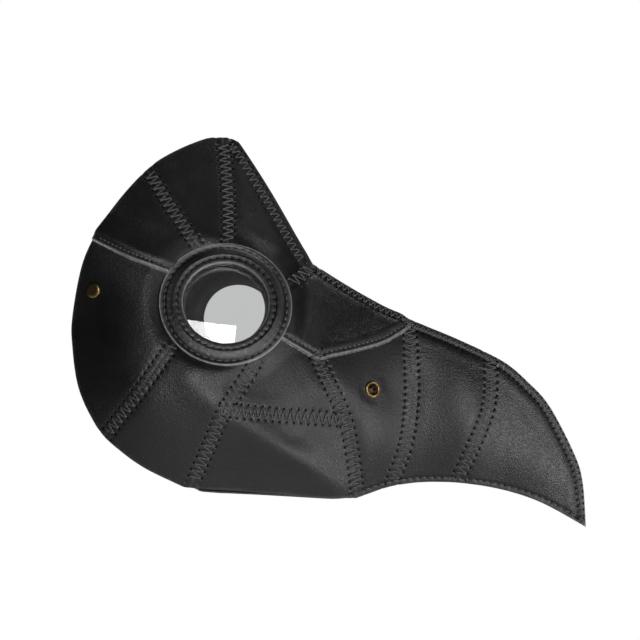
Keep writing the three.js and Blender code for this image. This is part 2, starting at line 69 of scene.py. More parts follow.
# Half width of the mask at places that shape it: x, z, half width.
WIDTHS = [
    [56.5, 91.8, 11], [44, 84.7, 21], [31.5, 75.1, 31], [19, 60.6, 40], [6.3, 42.6, 46],
    [-1.3, 28.8, 48.5], [73, 60, 20], [50, 62, 29], [62, 40, 35], [90, 40, 22], [30, 40, 47],
    [103, 22, 22], [0, 0, 50], [-13, -15, 42.5], [-13, -30, 43], [-9, -55, 44.5], [3, -78, 47.5],
    [14, -89, 48], [29, -100, 47], [54, -111, 41], [18, 5, 55.5], [16, -35, 59], [30, -70, 59.5],
    [45, 20, 49], [50, -55, 61.5], [75, -56, 57.5], [75, -64, 56.5], [99, -84, 43.5],
    [121, -98, 26.5], [70, -90, 49], [87, -113, 30.5], [120, -115, 15], [95, -55, 48],
    [112, -55, 40.5], [120, -75, 34.5], [112, -15, 33], [125, -36, 32.5], [143, -33, 24],
    [163, -27, 12.5], [133, -14, 19], [120, 5, 14], [146, -55, 27], [156, -54.7, 20],
    [166, -55, 14.5], [141, -74, 25], [144, -93, 14.5], [131, -55, 34], [178, -43, 10.5],
    [178, -66, 12], [172, -90, 9], [200, -66, 9.5], [223, -57, 6.5], [217, -80, 7.5],
    [204, -96, 5.5], [245, -75, 5.6], [245, -100, 5.2], [262, -105, 4],
]

# Seams: how they are sewn, and their line, which may run a little beside the edge of a CAD panel.
# A lap's upper panel is on its left, seen from the right side with +X to the right.
SEAMS = {
    "forehead_rear": ("zigzag", [[25.3, 75.3], [43, 47.5], [58, 26], [66, 13]]),
    "forehead_mid": ("zigzag", [[67.6, 97], [72.6, 60.5], [74.8, 26.8], [75, 12]]),
    "temple": ("lap", [[-5, 31], [21.3, 17.6], [45.4, 8.6], [56, 3]]),
    "cheek_rear": ("zigzag", [[3.5, -85.8], [27.9, -58.2], [48.6, -29.2], [58, -18]]),
    "cheek_mid": ("zigzag", [[51.5, -116.5], [65.3, -89.3], [74.9, -68.1], [93.1, -38.7],
                             [88, -26]]),
    "jaw": ("zigzag", [[72, -67.9], [107.4, -70.7], [143, -72.5]]),
    "beak_root": ("zigzag", [[123.8, -34.4], [133.5, -54.5], [140.6, -72.4], [144, -91.8],
                             [147, -119]]),
    "nose": ("zigzag", [[123.7, 23], [107.9, 2.6], [96, -5]]),
    "bridge": ("lap", [[95, -18], [105.4, -27], [114.7, -32.6], [123.5, -37.6], [126.6, -38.4],
                       [133.5, -36.5], [148.4, -32.4], [163.3, -26.8], [177.8, -17.2]]),
    "beak_mid": ("zigzag", [[176.2, -8], [178.4, -43.3], [177.8, -66.4], [173.6, -89],
                            [163.6, -113]]),
    "beak_front": ("zigzag", [[222.9, -30], [222.8, -57.5], [217, -77.6], [200.5, -112]]),
}
PANELS = {
    "forehead_rear": [24, 45], "forehead_middle": [54, 58], "forehead_front": [92, 42],
    "temple": [20, -25], "lower_cheek": [45, -75], "cheek_front": [108, -52], "jaw": [105, -92],
    "bridge": [138, -10], "beak_base": [158, -68], "beak_middle": [198, -64],
    "beak_tip": [248, -82],
}

# ---- sewing ----
ZIGZAG_HALF = 3.6        # from the seam to each row of needle holes
ZIGZAG_PITCH = 3.9       # between holes of one row
RIDGE_ROWS = {           # edge: both rows of holes from the edge, and their pitch
    "forehead": (2.2, 7.2, 4.0),
    "beak_top": (1.1, 4.1, 3.5),
}
EDGE_ROW = 2.0           # a row nearer the edge than this has no dimples
UNDER_ROW, UNDER_PITCH = 2.6, 4.0
THREAD = 0.38            # radius of the thread
ZIGZAG_PIT, RIDGE_PIT, UNDER_PIT = 0.5, 0.45, 0.3   # depth of the dimples round their holes
SLIT_WIDTH = 0.45        # of the worked edge where a panel ends
LAP_RISE = 1.7           # a lapped panel's lip above the panel under it
LAP_LEVEL, LAP_SLOPE = 5, 15   # the lip stays up this far, then comes down over this length
LAP_STITCH = 2.6         # from the lip to its row of stitches
LAP_PITCH = 2.6
RING_ROWS = [(28.0, 42), (34.45, 52)]   # eye ring: radius of each row of stitches, and how many

EYE_CALM = RING_OUTER - 2.5          # the leather lies plain within these radii
EYELET_CALM, RIVET_CALM = 6.0, 5.5

# Crease of the cheek, from the eye ring down to the jaw's front corner.
CREASE_LINE = [[44, -40], [57, -52], [72, -67], [97, -83], [121, -99], [144, -115]]
CREASE_HEIGHT, CREASE_REACH = 3.0, 10.0
CREASE_BEND = (8.0, 3.5)   # radius of its top at the ring, and from CREASE_TURN down
CREASE_TURN = 60.0

# Soft swells and hollows of the leather: x, z, half length, half width, turn, height.
SWELLS = [
    [113, -81, 13, 6, -20, -1.2],
    [132, -86, 8, 10, 60, 0.9],
    [118, -60, 10, 8, 0, 0.8],
    [150, -72, 11, 24, 0, 1.3],
    [176, -62, 14, 40, 3, -2.4],
    [209, -64, 12, 34, 8, 2.4],
    [138, -8, 20, 9, -30, 0.8],
    [22, -58, 22, 14, 0, 0.7],
]

# ---- plane curves and the surface ----
def lengths(line):
    """Length along a line of points, at each of them."""
    return np.append(0, np.cumsum(np.linalg.norm(np.diff(line, axis=0), axis=1)))


def curve(points, step=CURVE_STEP):
    """Points about `step` apart along the smooth curve through the given points."""
    p = np.array(points, float)
    n = len(p) - 1
    t = np.linspace(0, n, n * 200 + 1)
    i = np.minimum(t.astype(int), n - 1)
    w = (t - i)[:, None]
    a, b = p[i], p[i + 1]
    va = (b - p[np.maximum(i - 1, 0)]) / 2
    vb = (p[np.minimum(i + 2, n)] - a) / 2
    fine = (2 * a - 2 * b + va + vb) * w**3 + (3 * b - 3 * a - 2 * va - vb) * w**2 + va * w + a
    run = lengths(fine)
    at = np.linspace(0, run[-1], max(1, round(run[-1] / step)) + 1)
    return np.stack([np.interp(at, run, fine[:, k]) for k in range(p.shape[1])], 1)


def kernel(a, b):
    """Bending of a thin plate at each of a by a load at each of b."""
    r2 = ((a[:, None, :] - b[None, :, :]) ** 2).sum(2)
    return r2 * np.log(np.maximum(r2, 1e-12))


def thin_plate(points):
    """The smoothest surface through points (x, z, height)."""
    at, height = points[:, :2], points[:, 2]
    n = len(at)
    rows = np.zeros((n + 3, n + 3))
    rows[:n, :n] = kernel(at, at)
    rows[:n, n] = rows[n, :n] = 1
    rows[:n, n + 1:] = at
    rows[n + 1:, :n] = at.T
    k = np.linalg.solve(rows, np.append(height, [0, 0, 0]))
    return lambda q: kernel(q, at) @ k[:n] + k[n] + q @ k[n + 1:]


EDGE_AT = np.vstack([curve(edge, 14)[:-1] for edge in SEWN])
PLATE = thin_plate(np.vstack([np.c_[EDGE_AT, np.full(len(EDGE_AT), RIDGE_HALF)], WIDTHS]))


def smooth(t):
    """Eases from 0 to 1 while t does."""
    t = np.clip(t, 0, 1)
    return t * t * (3 - 2 * t)


def half_width(at):
    """Half width of the mask at each (x, z): level round the eye, the plate elsewhere."""
    off = at - EYE_AT
    seat = EYE_HALF + off @ EYE_SLOPE
    t = smooth((np.hypot(off[:, 0], off[:, 1]) - EYE_FLAT) / (EYE_BLEND - EYE_FLAT))
    return seat + (PLATE(at) - seat) * t


def unit(v):
    return v / np.linalg.norm(v, axis=-1, keepdims=True)


def base(at):
    """Point and outward normal of the right side's outer face at each (x, z)."""
    gx = half_width(at + [0.5, 0]) - half_width(at - [0.5, 0])
    gz = half_width(at + [0, 0.5]) - half_width(at - [0, 0.5])
    point = np.stack([at[:, 0], -half_width(at), at[:, 1]], 1)
    return point, unit(np.stack([-gx, -np.ones(len(at)), -gz], 1))


def frame_at(at):
    """Centre, outward normal and two level directions of the surface at one place."""
    point, out = (v[0] for v in base(np.array([at], float)))
    along = np.array([1.0, 0, 0]) - out * out[0]
    along /= np.linalg.norm(along)
    return point, out, along, np.cross(out, along)


# ---- seams: place along and across ----
class Seam:
    """A line drawn in the (x, z) plane, with places along it and off it."""

    def __init__(self, kind, points):
        self.kind = kind
        self.line = curve(points)
        self.run = lengths(self.line)
        self.length = self.run[-1]
        self.tangent = unit(np.gradient(self.line, axis=0))

    def across(self, at, reach=24):
        """(near, along, off): the points within reach, their place along it and off it, + left."""
        low, high = self.line.min(0) - reach, self.line.max(0) + reach
        near = np.nonzero(((at > low) & (at < high)).all(1))[0]
        along, off = np.zeros(len(near)), np.zeros(len(near))
        for part in np.array_split(np.arange(len(near)), max(1, len(near) // 4000)):
            q = at[near[part]]
            j = ((q[:, None] - self.line[None]) ** 2).sum(2).argmin(1)
            gap, t = q - self.line[j], self.tangent[j]
            along[part] = self.run[j] + (gap * t).sum(1)
            off[part] = t[:, 0] * gap[:, 1] - t[:, 1] * gap[:, 0]
        return near, along, off

    def at(self, along, off):
        """(x, z) of places along the seam and off it."""
        along = np.asarray(along, float)
        p = np.stack([np.interp(along, self.run, self.line[:, k]) for k in (0, 1)], 1)
        t = unit(np.stack([np.interp(along, self.run, self.tangent[:, k]) for k in (0, 1)], 1))
        return p + np.stack([-t[:, 1], t[:, 0]], 1) * np.reshape(off, (-1, 1))


SEAM = {name: Seam(kind, points) for name, (kind, points) in SEAMS.items()}
CREASE = Seam("crease", CREASE_LINE)
EDGE = {"forehead": Seam("edge", FOREHEAD), "beak_top": Seam("edge", BEAK_TOP),
        "beak_under": Seam("edge", BEAK_UNDER)}
OUTLINE_AT = np.vstack([curve(edge)[:-1] for edge in OUTLINE])


def angles(count):
    """Evenly spread round a full turn."""
    return np.linspace(0, 2 * math.pi, count, endpoint=False)


def gap_to(place, at):
    """Distance of each (x, z) from one place."""
    return np.linalg.norm(at - place, axis=1)


def bell(x, width):
    """A bump 1 high at 0."""
    return np.exp(-(x / width) ** 2)


def pits(along, off, row, pitch, start, width=0.95):
    """Dimples round the needle holes of one row."""
    step = (along - start + pitch / 2) % pitch - pitch / 2
    return np.exp(-(np.hypot(step, off - row) / width) ** 4)


def end_fade(seam, along, first=2.0, last=2.0, start=-1.0):
    """Fades a seam's relief in from `start` on and out at its far end, over these lengths."""
    return smooth((along - start) / first) * smooth((seam.length + 1 - along) / last)


def zigzag_lift(along, off):
    """Puffed sides, needle dimples and the slit between two butted panels."""
    holes = (pits(along, off, ZIGZAG_HALF, ZIGZAG_PITCH, 0)
             + pits(along, off, -ZIGZAG_HALF, ZIGZAG_PITCH, ZIGZAG_PITCH / 2))
    puff = 0.15 * bell(np.abs(off) - ZIGZAG_HALF - 4.2, 2.8)
    slit = 0.15 * bell(off, SLIT_WIDTH)
    return puff - ZIGZAG_PIT * holes - slit


def lap_lift(along, off):
    """Lip of a lapped panel: creased, stitched and puffed behind the stitches."""
    rise = LAP_RISE * (1 - smooth((off - LAP_LEVEL) / LAP_SLOPE)) - 0.35 * bell(off, SLIT_WIDTH)
    crease = 0.25 * bell(off - 1.2, 0.32)
    groove = 0.35 * bell(off - LAP_STITCH, 0.6)
    holes = 0.25 * pits(along, off, LAP_STITCH, LAP_PITCH, 0, 0.6)
    puff = 0.55 * bell(off - 5.6, 2.4)
    return np.where(off > 0, rise - crease - groove - holes + puff, 0)


def ridge_lift(along, deep, first, second, pitch):
    """Groove, dimples and puff of the rows `first` and `second` deep from a sewn edge."""
    holes = pits(along, deep, second, pitch, pitch / 2)
    if first > EDGE_ROW:
        holes = holes + pits(along, deep, first, pitch, 0)
    puff = 0.3 * bell(deep - second - 4, 2.6)
    groove = 0.3 * bell(deep - second, 1.0)
    return puff - groove - RIDGE_PIT * holes


def under_lift(along, deep):
    """Groove and dimples of the running stitch under the beak."""
    groove = 0.35 * bell(deep - UNDER_ROW, 0.8)
    return -groove - UNDER_PIT * pits(along, deep, UNDER_ROW, UNDER_PITCH, 0)


def crease_lift(along, off):
    """Soft fold with a rounded top."""
    bend = CREASE_BEND[0] + (CREASE_BEND[1] - CREASE_BEND[0]) * smooth(along / CREASE_TURN)
    return CREASE_HEIGHT * np.exp((bend - np.hypot(off, bend)) / CREASE_REACH)


def swell_lift(at, x, z, length, width, turn, height):
    """One soft swell, or hollow if its height is negative."""
    c, s = math.cos(math.radians(turn)), math.sin(math.radians(turn))
    dx, dz = at[:, 0] - x, at[:, 1] - z
    return height * np.exp(-((c * dx + s * dz) / length) ** 2 - ((c * dz - s * dx) / width) ** 2)


def lift(at):
    """Height of the worked leather over the plain surface at each (x, z)."""
    total = np.zeros(len(at))
    for seam in SEAM.values():
        near, along, off = seam.across(at)
        worked = zigzag_lift if seam.kind == "zigzag" else lap_lift
        total[near] += worked(along, off) * end_fade(seam, along)
    for name, rows in RIDGE_ROWS.items():
        near, along, off = EDGE[name].across(at)
        total[near] += ridge_lift(along, -off, *rows) * end_fade(EDGE[name], along)
    near, along, off = CREASE.across(at, 45)
    total[near] += crease_lift(along, off) * end_fade(CREASE, along, 20, 14, -2)
    near, along, off = EDGE["beak_under"].across(at)
    total[near] += under_lift(along, -off)
    for swell in SWELLS:
        total += swell_lift(at, *swell)
    calm = smooth((gap_to(EYE_AT, at) - EYE_CALM) / 4)
    for place, radius in ((EYELET_AT, EYELET_CALM), (RIVET_AT, RIVET_CALM)):
        calm = calm * smooth((gap_to(place, at) - radius) / 2)
    return total * calm


def on_mask(at, height=0.0):
    """Point of the worked leather at each (x, z), raised by a height, and its normal."""
    point, out = base(at)
    return point + out * np.reshape(lift(at) + height, (-1, 1)), out


# ---- flat layout and its triangles ----
CELL = 0.7               # map of the plane: size of its cells, its low corner, and how many cells
LOW = np.array([-30.0, -150.0])
CELLS = (460, 380)
FILL_LOW, FILL_HIGH = (-16, -136), (280, 98)   # corners of the filled plane
FINE_PITCH, WIDE_PITCH = 0.8, 2.1              # between points near the sewing, and elsewhere
FINE_REACH = 5.8
CLEAR_GAP = 0.32         # filling points keep off the lines by about this
PART_GAP = 0.07          # each panel's cut edge is set in by this
OUTER_LEAST, INNER_LEAST = 0.6, 0.12   # each half's faces keep this far from the middle plane
RIDGE_CLOSE = 0.02       # a sewn edge runs this far past it, so that no light comes through


def band(lines, reach):
    """Map of the plane that is true within reach of the lines' points."""
    dots = np.zeros(CELLS, bool)
    i = ((np.vstack(lines) - LOW) / CELL).astype(int)
    dots[i[:, 0], i[:, 1]] = True
    grown = np.zeros(CELLS, bool)
    r = int(reach / CELL)
    for a in range(-r, r + 1):
        for b in range(-r, r + 1):
            if a * a + b * b <= r * r:
                grown |= np.roll(dots, (a, b), (0, 1))
    return grown


def inside(grid, at):
    """Value of a map at each (x, z)."""
    i = ((at - LOW) / CELL).astype(int)
    return grid[i[:, 0], i[:, 1]]


def honeycomb(low, high, pitch):
    """Points of a triangular grid between two corners."""
    row = pitch * 0.866
    i, j = np.meshgrid(np.arange(int((high[0] - low[0]) / pitch)),
                       np.arange(int((high[1] - low[1]) / row)), indexing="ij")
    grid = np.stack([low[0] + (i + 0.5 * (j % 2)) * pitch, low[1] + j * row], 2)
    return grid.reshape(-1, 2)


def cell_codes(points, size):
    """One whole number for each point's square cell; the cell beside it is 1 or 100000 away."""
    cell = np.floor(points / size).astype(np.int64)
    return cell[:, 0] * 100000 + cell[:, 1]


def clear_of(points, at, gap):
    """Points of `at` that keep off the given points."""
    taken = np.unique(cell_codes(points, gap))
    own = cell_codes(at, gap)
    free = np.ones(len(at), bool)
    for a in (-1, 0, 1):
        for b in (-1, 0, 1):
            free &= ~np.isin(own + a * 100000 + b, taken)
    return at[free]


def edge_codes(edge, count):
    """One whole number for each edge, whichever way it runs."""
    return edge.min(1) * count + edge.max(1)


def neighbours(face, cut, count):
    """The triangle across each side of every triangle, -1 at the rim and across a cut."""
    sides = np.stack([edge_codes(face[:, [k, (k + 1) % 3]], count) for k in range(3)], 1).ravel()
    order = np.argsort(sides, kind="stable")
    same = np.nonzero(np.diff(sides[order]) == 0)[0]
    twin = np.full(len(sides), -1)
    twin[order[same]], twin[order[same + 1]] = order[same + 1] // 3, order[same] // 3
    twin[np.isin(sides, edge_codes(cut, count))] = -1
    return twin.reshape(-1, 3)


def triangulate(lines, fill, seeds):
    """Triangles of the plane cut along the lines (closed if they say so), found from the seeds."""
    points, edges = [], []
    start = 0
    for line, closed in lines:
        count = len(line)
        points.append(line)
        edges += [(start + k, start + (k + 1) % count) for k in range(count if closed else count - 1)]
        start += count
    kept = clear_of(np.vstack(points), fill, CLEAR_GAP)
    every = np.vstack(points + [kept])
    made = delaunay_2d_cdt([Vector(p) for p in every.tolist()], edges, [], 0, 1e-5, True)
    at = np.array([tuple(v) for v in made[0]])
    face = np.array(made[2])
    cut = np.array([e for e, source in zip(made[1], made[4]) if source])
    twin = neighbours(face, cut, len(at))
    centre = at[face].mean(1)
    label = np.full(len(face), -1)
    for k, seed in enumerate(seeds):
        front = np.array([((centre - seed) ** 2).sum(1).argmin()])
        while len(front):
            label[front] = k
            step = np.unique(twin[front].ravel())
            front = step[step >= 0]
            front = front[label[front] < 0]
    return at, face, label


def rim_edges(face, count):
    """Edges that only one triangle has, each the way round its triangle."""
    edge = np.vstack([face[:, [k, (k + 1) % 3]] for k in range(3)])
    alone = ~np.isin(edge[:, 0] * count + edge[:, 1], edge[:, 1] * count + edge[:, 0])
    return edge[alone]


def thick_mesh(face, outer, inner, middle, turn):
    """Closed body from the outer triangles, their copy inside and a rounded edge between them."""
    used, local = np.unique(face, return_inverse=True)
    face = local.reshape(-1, 3)
    count = len(used)
    rim = rim_edges(face, count)
    rim_at, rim_local = np.unique(rim, return_inverse=True)
    a, b = rim.T
    ma, mb = rim_local.reshape(-1, 2).T + 2 * count
    faces = face.tolist() + (face[:, ::-1] + count).tolist()
    faces += np.stack([b, a, ma, mb], 1).tolist()
    faces += np.stack([mb, ma, a + count, b + count], 1).tolist()
    if turn:
        faces = [f[::-1] for f in faces]
    points = np.vstack([outer[used], inner[used], middle(used[rim_at])])
    skin = np.zeros(len(faces), int)
    skin[len(face):2 * len(face)] = 1
    return points, faces, skin, rim_at


def loop_faces(rows, columns, closed=True, flip=False):
    """Quads over rows of points, each row a loop; closed joins the last row to the first."""
    faces = []
    for i in range(rows if closed else rows - 1):
        n = (i + 1) % rows
        for j in range(columns):
            k = (j + 1) % columns
            a, b, c, d = (i * columns + j, i * columns + k, n * columns + k, n * columns + j)
            faces.append([a, d, c, b] if flip else [a, b, c, d])
    return faces


def mesh_object(name, points, faces, materials, index=None, angle=35):
    """Smooth-shaded mesh in metres, sharp where its faces meet at more than the angle."""
    mesh = bpy.data.meshes.new(name)
    mesh.from_pydata((points * MM).tolist(), [], faces)
    for item in materials:
        mesh.materials.append(item)
    if index is not None:
        mesh.polygons.foreach_set("material_index", np.asarray(index, np.int32))
    mesh.polygons.foreach_set("use_smooth", np.ones(len(faces), bool))
    mesh.set_sharp_from_angle(angle=math.radians(angle))
    obj = bpy.data.objects.new(name, mesh)
    bpy.context.scene.collection.objects.link(obj)
    return obj


def declare(piece, body, node=None):
    """Puts a piece on the body that it rides on and hides the CAD node that it stands for."""
    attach(piece, body)
    if node:
        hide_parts(node)


def set_wear_and_highlight(obj, values):
    """How rubbed each point is and how much painted highlight it carries, from 0 to 1, for the
    leather's colour.
    """
    layer = obj.data.attributes.new("wear_and_highlight", "FLOAT", "POINT")
    layer.data.foreach_set("value", np.asarray(values, np.float32))


MIRROR = np.array([1.0, -1.0, 1.0])


def both_sides(name, points, faces, materials, index=None, wear_and_highlight=None, node=True, angle=35):
    """The right piece and its mirrored left one, riding on the mask."""
    made = []
    for side, flip in (("right", 1), ("left", -1)):
        turned = faces if flip == 1 else [f[::-1] for f in faces]
        piece = mesh_object(f"{name}_{side}_look", points * (1, flip, 1), turned, materials, index,
                            angle)
        if wear_and_highlight is not None:
            set_wear_and_highlight(piece, wear_and_highlight)
        declare(piece, "mask", f"{name}_{side}" if node else None)
        made.append(piece)
    return made


# ---- materials ----
class Shader:
    """Small helper to write a node material top down."""

    def __init__(self, name, **values):
        self.item = bpy.data.materials.new(name)
        self.item.use_nodes = True
        self.tree = self.item.node_tree
        self.main = self.tree.nodes["Principled BSDF"]
        self.place = self.tree.nodes.new("ShaderNodeTexCoord").outputs["Object"]
        for key, value in values.items():
            self.main.inputs[key.replace("_", " ")].default_value = value

    def node(self, kind, inputs=(), **settings):
        made = self.tree.nodes.new("ShaderNode" + kind)
        for key, value in settings.items():
            setattr(made, key, value)
        for key, value in dict(inputs).items():
            if isinstance(value, bpy.types.NodeSocket):
                self.tree.links.new(value, made.inputs[key])
            else:
                made.inputs[key].default_value = value
        return made

    def noise(self, scale, detail=3.0, roughness=0.55):
        return self.node("TexNoise", {"Vector": self.place, "Scale": scale, "Detail": detail,
                                      "Roughness": roughness}).outputs["Fac"]

    def cells(self, scale, feature="DISTANCE_TO_EDGE"):
        return self.node("TexVoronoi", {"Vector": self.place, "Scale": scale},
                         feature=feature).outputs["Distance"]

    def spread(self, value, low, high, to_low, to_high):
        return self.node("MapRange", {"Value": value, "From Min": low, "From Max": high,
                                      "To Min": to_low, "To Max": to_high}).outputs["Result"]

    def mix(self, factor, a, b):
        made = self.node("Mix", data_type="RGBA")
        for socket, value in ((made.inputs[0], factor), (made.inputs[6], a), (made.inputs[7], b)):
            if isinstance(value, bpy.types.NodeSocket):
                self.tree.links.new(value, socket)
            else:
                socket.default_value = value
        return made.outputs[2]

    def bump(self, *layers):
        """Stacks (height, strength, distance) layers and feeds the shader's normal."""
        normal = None
        for height, strength, distance in layers:
            inputs = {"Height": height, "Strength": strength, "Distance": distance}
            if normal:
                inputs["Normal"] = normal
            normal = self.node("Bump", inputs).outputs["Normal"]
        self.tree.links.new(normal, self.main.inputs["Normal"])

    def link(self, value, key):
        self.tree.links.new(value, self.main.inputs[key])

    def colour(self, factor, a, b):
        """Base colour between two tones."""
        self.link(self.mix(factor, a, b), "Base Color")


GRAIN = 0.6
# Pale tone of the edges: rubbed leather, and on the laps' lips and the eye ring's edges also a
# painted highlight.
RUBBED_AND_HIGHLIGHT = (0.34, 0.34, 0.34, 1)


def leather(name, dark, light, rough, shine=0.5):
    """Coated leather: fine pebble grain, broad sheen variation and paler edges, where the paleness is
    partly rubbing and partly a painted highlight.
    """
    s = Shader(name, Specular_IOR_Level=shine)
    worn_and_lit = s.node("Attribute", attribute_name="wear_and_highlight").outputs["Fac"]
    scuff = s.spread(s.noise(420, 5), 0.4, 0.75, 0.0, 1.0)
    tone = s.mix(s.noise(30, 4), dark, light)
    edge = s.node("Math", {0: worn_and_lit, 1: s.spread(scuff, 0, 1, 0.55, 1.0)}, operation="MULTIPLY")
    # the edges' paleness, rubbing and painted highlight, mixed over the leather's tone
    s.colour(edge.outputs[0], tone, RUBBED_AND_HIGHLIGHT)
    s.link(s.spread(s.noise(55, 4), 0.3, 0.7, rough - 0.05, rough + 0.06), "Roughness")
    s.bump((s.cells(1000), GRAIN, 0.0003), (s.noise(800, 4), GRAIN, 0.0003),
           (s.noise(120, 3), 0.25, 0.00025))
    return s.item


def flesh_side():
    """Rough inner face of the leather."""
    s = Shader("leather_flesh_side", Roughness=0.92)
    s.colour(s.noise(260, 6, 0.7), (0.012, 0.011, 0.011, 1), (0.032, 0.03, 0.029, 1))
    s.bump((s.noise(1400, 6, 0.75), 0.6, 0.0002))
    return s.item


def waxed_thread():
    """Black thread with a slight shine and fine fibres."""
    s = Shader("black_thread", Roughness=0.34)
    s.colour(s.noise(700, 3), (0.045, 0.045, 0.046, 1), (0.0765, 0.0765, 0.0782, 1))
    s.bump((s.noise(3500, 2), 0.5, 0.00006))
    return s.item


def antique_brass():
    """Brass with dark patina in its hollows and on its flats."""
    s = Shader("antique_brass", Metallic=1.0)
    patina = s.spread(s.noise(900, 5, 0.65), 0.38, 0.68, 0.0, 1.0)
    s.colour(patina, (0.34, 0.23, 0.10, 1), (0.07, 0.047, 0.02, 1))
    s.link(s.spread(patina, 0, 1, 0.28, 0.5), "Roughness")
    s.bump((s.noise(1800, 3), 0.25, 0.00005))
    return s.item


def clear_lens():
    """Clear plastic, faintly hazed in places."""
    s = Shader("clear_lens", Transmission_Weight=1.0, IOR=1.45, Base_Color=(0.96, 0.97, 0.97, 1))
    s.link(s.spread(s.noise(60, 4), 0.4, 0.8, 0.0, 0.006), "Roughness")
    return s.item


def foam():
    """Dark open foam."""
    s = Shader("foam", Roughness=0.95)
    s.colour(s.cells(1600, "F1"), (0.02, 0.02, 0.02, 1), (0.05, 0.05, 0.05, 1))
    s.bump((s.cells(1600, "F1"), 0.7, 0.0003))
    return s.item


def painted_hole_shade():
    """Painted shade of a needle hole: near black, standing in for the dark depth where almost no
    light comes back.
    """
    s = Shader("painted_hole_shade", Roughness=1.0, Specular_IOR_Level=0.0)
    s.colour(s.noise(900), (0.002, 0.002, 0.002, 1), (0.004, 0.004, 0.004, 1))
    return s.item


SIDE = leather("black_leather", (0.004, 0.004, 0.0042, 1), (0.007, 0.007, 0.0073, 1), 0.34)
RING = leather("ring_leather", (0.004, 0.004, 0.0042, 1), (0.006, 0.006, 0.0062, 1), 0.36, 0.8)
STRAP = leather("strap_leather", (0.014, 0.012, 0.011, 1), (0.024, 0.021, 0.019, 1), 0.45)
FLESH = flesh_side()
THREAD_LOOK = waxed_thread()
# near-black plugs: painted shade of the needle holes
HOLE_SHADE = painted_hole_shade()
BRASS = antique_brass()
LENS = clear_lens()
FOAM = foam()


# ---- leather panels ----
def circle_on_mask(at, radius, count):
    """A circle drawn on the surface, as seen in the (x, z) plane."""
    _, _, along, up = frame_at(at)
    a = angles(count)[:, None]
    ray = along * np.cos(a) + up * np.sin(a)
    return np.array(at) + ray[:, [0, 2]] * radius


def side_layout():
    """One side laid flat: its points and triangles, and the panel that each triangle is in."""
    lines = [(OUTLINE_AT, True)] + [(seam.line, False) for seam in SEAM.values()]
    lines += [(circle_on_mask(EYE_AT, RING_INNER, 120), True),
              (circle_on_mask(EYELET_AT, 3.9, 24), True), (circle_on_mask(RIVET_AT, 1.9, 16), True)]
    worked = [seam.line for seam in SEAM.values()]
    worked += [EDGE[name].line for name in ("forehead", "beak_top", "beak_under")]
    fine = band(worked, FINE_REACH)
    close = honeycomb(FILL_LOW, FILL_HIGH, FINE_PITCH)
    wide = honeycomb(FILL_LOW, FILL_HIGH, WIDE_PITCH)
    fill = np.vstack([close[inside(fine, close)], wide[~inside(fine, wide)]])
    return triangulate(lines, fill, np.array(list(PANELS.values()), float))


def edge_inset(at, face):
    """Moves the rim points of a panel a hair inwards, so that neighbours part along the seam."""
    rim = rim_edges(face, len(at))
    way = at[rim[:, 1]] - at[rim[:, 0]]
    left = unit(np.stack([-way[:, 1], way[:, 0]], 1))
    push = np.zeros_like(at)
    for k in (0, 1):
        np.add.at(push, rim[:, k], left)
    size = np.linalg.norm(push, axis=1, keepdims=True)
    return at + push / np.maximum(size, 1e-9) * PART_GAP, np.unique(rim)


def panel_skins(at, used):
    """Outer and inner point of each used place; the other rows mean nothing."""
    outer, inner = np.zeros((len(at), 3)), np.zeros((len(at), 3))
    height = lift(at[used])
    point, out = base(at[used])
    under = np.minimum(height, LAP_RISE) * 0.8 - LEATHER
    outer[used] = point + out * height[:, None]
    inner[used] = point + out * under[:, None]
    outer[:, 1] = np.minimum(outer[:, 1], -OUTER_LEAST)
    inner[:, 1] = np.minimum(inner[:, 1], -INNER_LEAST)
    return outer, inner


def build_panels():
    """Every leather panel, closed over the middle plane where the halves are sewn together."""
    at_all, face_all, label = side_layout()
    sewn = np.vstack([curve(edge) for edge in SEWN])
    for k, name in enumerate(PANELS):
        face = face_all[label == k]
        at, rim = edge_inset(at_all, face)
        used = np.unique(face)
        outer, inner = panel_skins(at, used)

        def middle(ids):
            mid = (outer[ids] + inner[ids]) / 2
            gap = ((at[ids][:, None] - sewn[None]) ** 2).sum(2).min(1)
            ridge = gap < 0.5
            mid[ridge] = outer[ids][ridge] * (1, 0, 1) + (0, RIDGE_CLOSE, 0)
            return mid

        points, faces, skin, rim_at = thick_mesh(face, outer, inner, middle, False)
        # paler cut edges: rubbing, and on the laps' lips a painted highlight
        wear_and_highlight = np.zeros(len(points))
        lip = edge_wear_and_highlight(at)
        wear_and_highlight[:len(used)] = bell(rim_distance(at[used], at[rim]), 0.5) * lip[used]
        wear_and_highlight[2 * len(used):] = lip[used[rim_at]]
        both_sides(name, points, faces, [SIDE, FLESH], skin, wear_and_highlight)


# Paleness painted on the cut edges; on the laps' lips it is mostly a painted highlight.
PLAIN_WEAR, BEAK_WEAR, LIP_WEAR_AND_HIGHLIGHT = 0.12, 0.5, 1.0


def edge_wear_and_highlight(at):
    """How pale a place's cut edge is painted: most on the lips of the laps, where the paleness is
    mostly a painted highlight.
    """
    share = np.full(len(at), PLAIN_WEAR)
    for name in ("temple", "bridge"):
        seam = SEAM[name]
        near, along, off = seam.across(at, 4)
        lip = (off > -0.4) & (off < 4) & (along > 0) & (along < seam.length)
        share[near[lip]] = LIP_WEAR_AND_HIGHLIGHT
    near, _, off = EDGE["beak_top"].across(at, 2)
    share[near[np.abs(off) < 1]] = BEAK_WEAR
    return share


def rim_distance(at, rim):
    """Distance to the nearest rim point, up to 2 mm."""
    out = np.full(len(at), 2.0)
    for part in np.array_split(np.arange(len(at)), max(1, len(at) // 1500)):
        q = at[part]
        low, high = q.min(0) - 2, q.max(0) + 2
        close = rim[((rim > low) & (rim < high)).all(1)]
        if len(close):
            out[part] = np.minimum(2, np.sqrt(((q[:, None] - close[None]) ** 2).sum(2).min(1)))
    return out


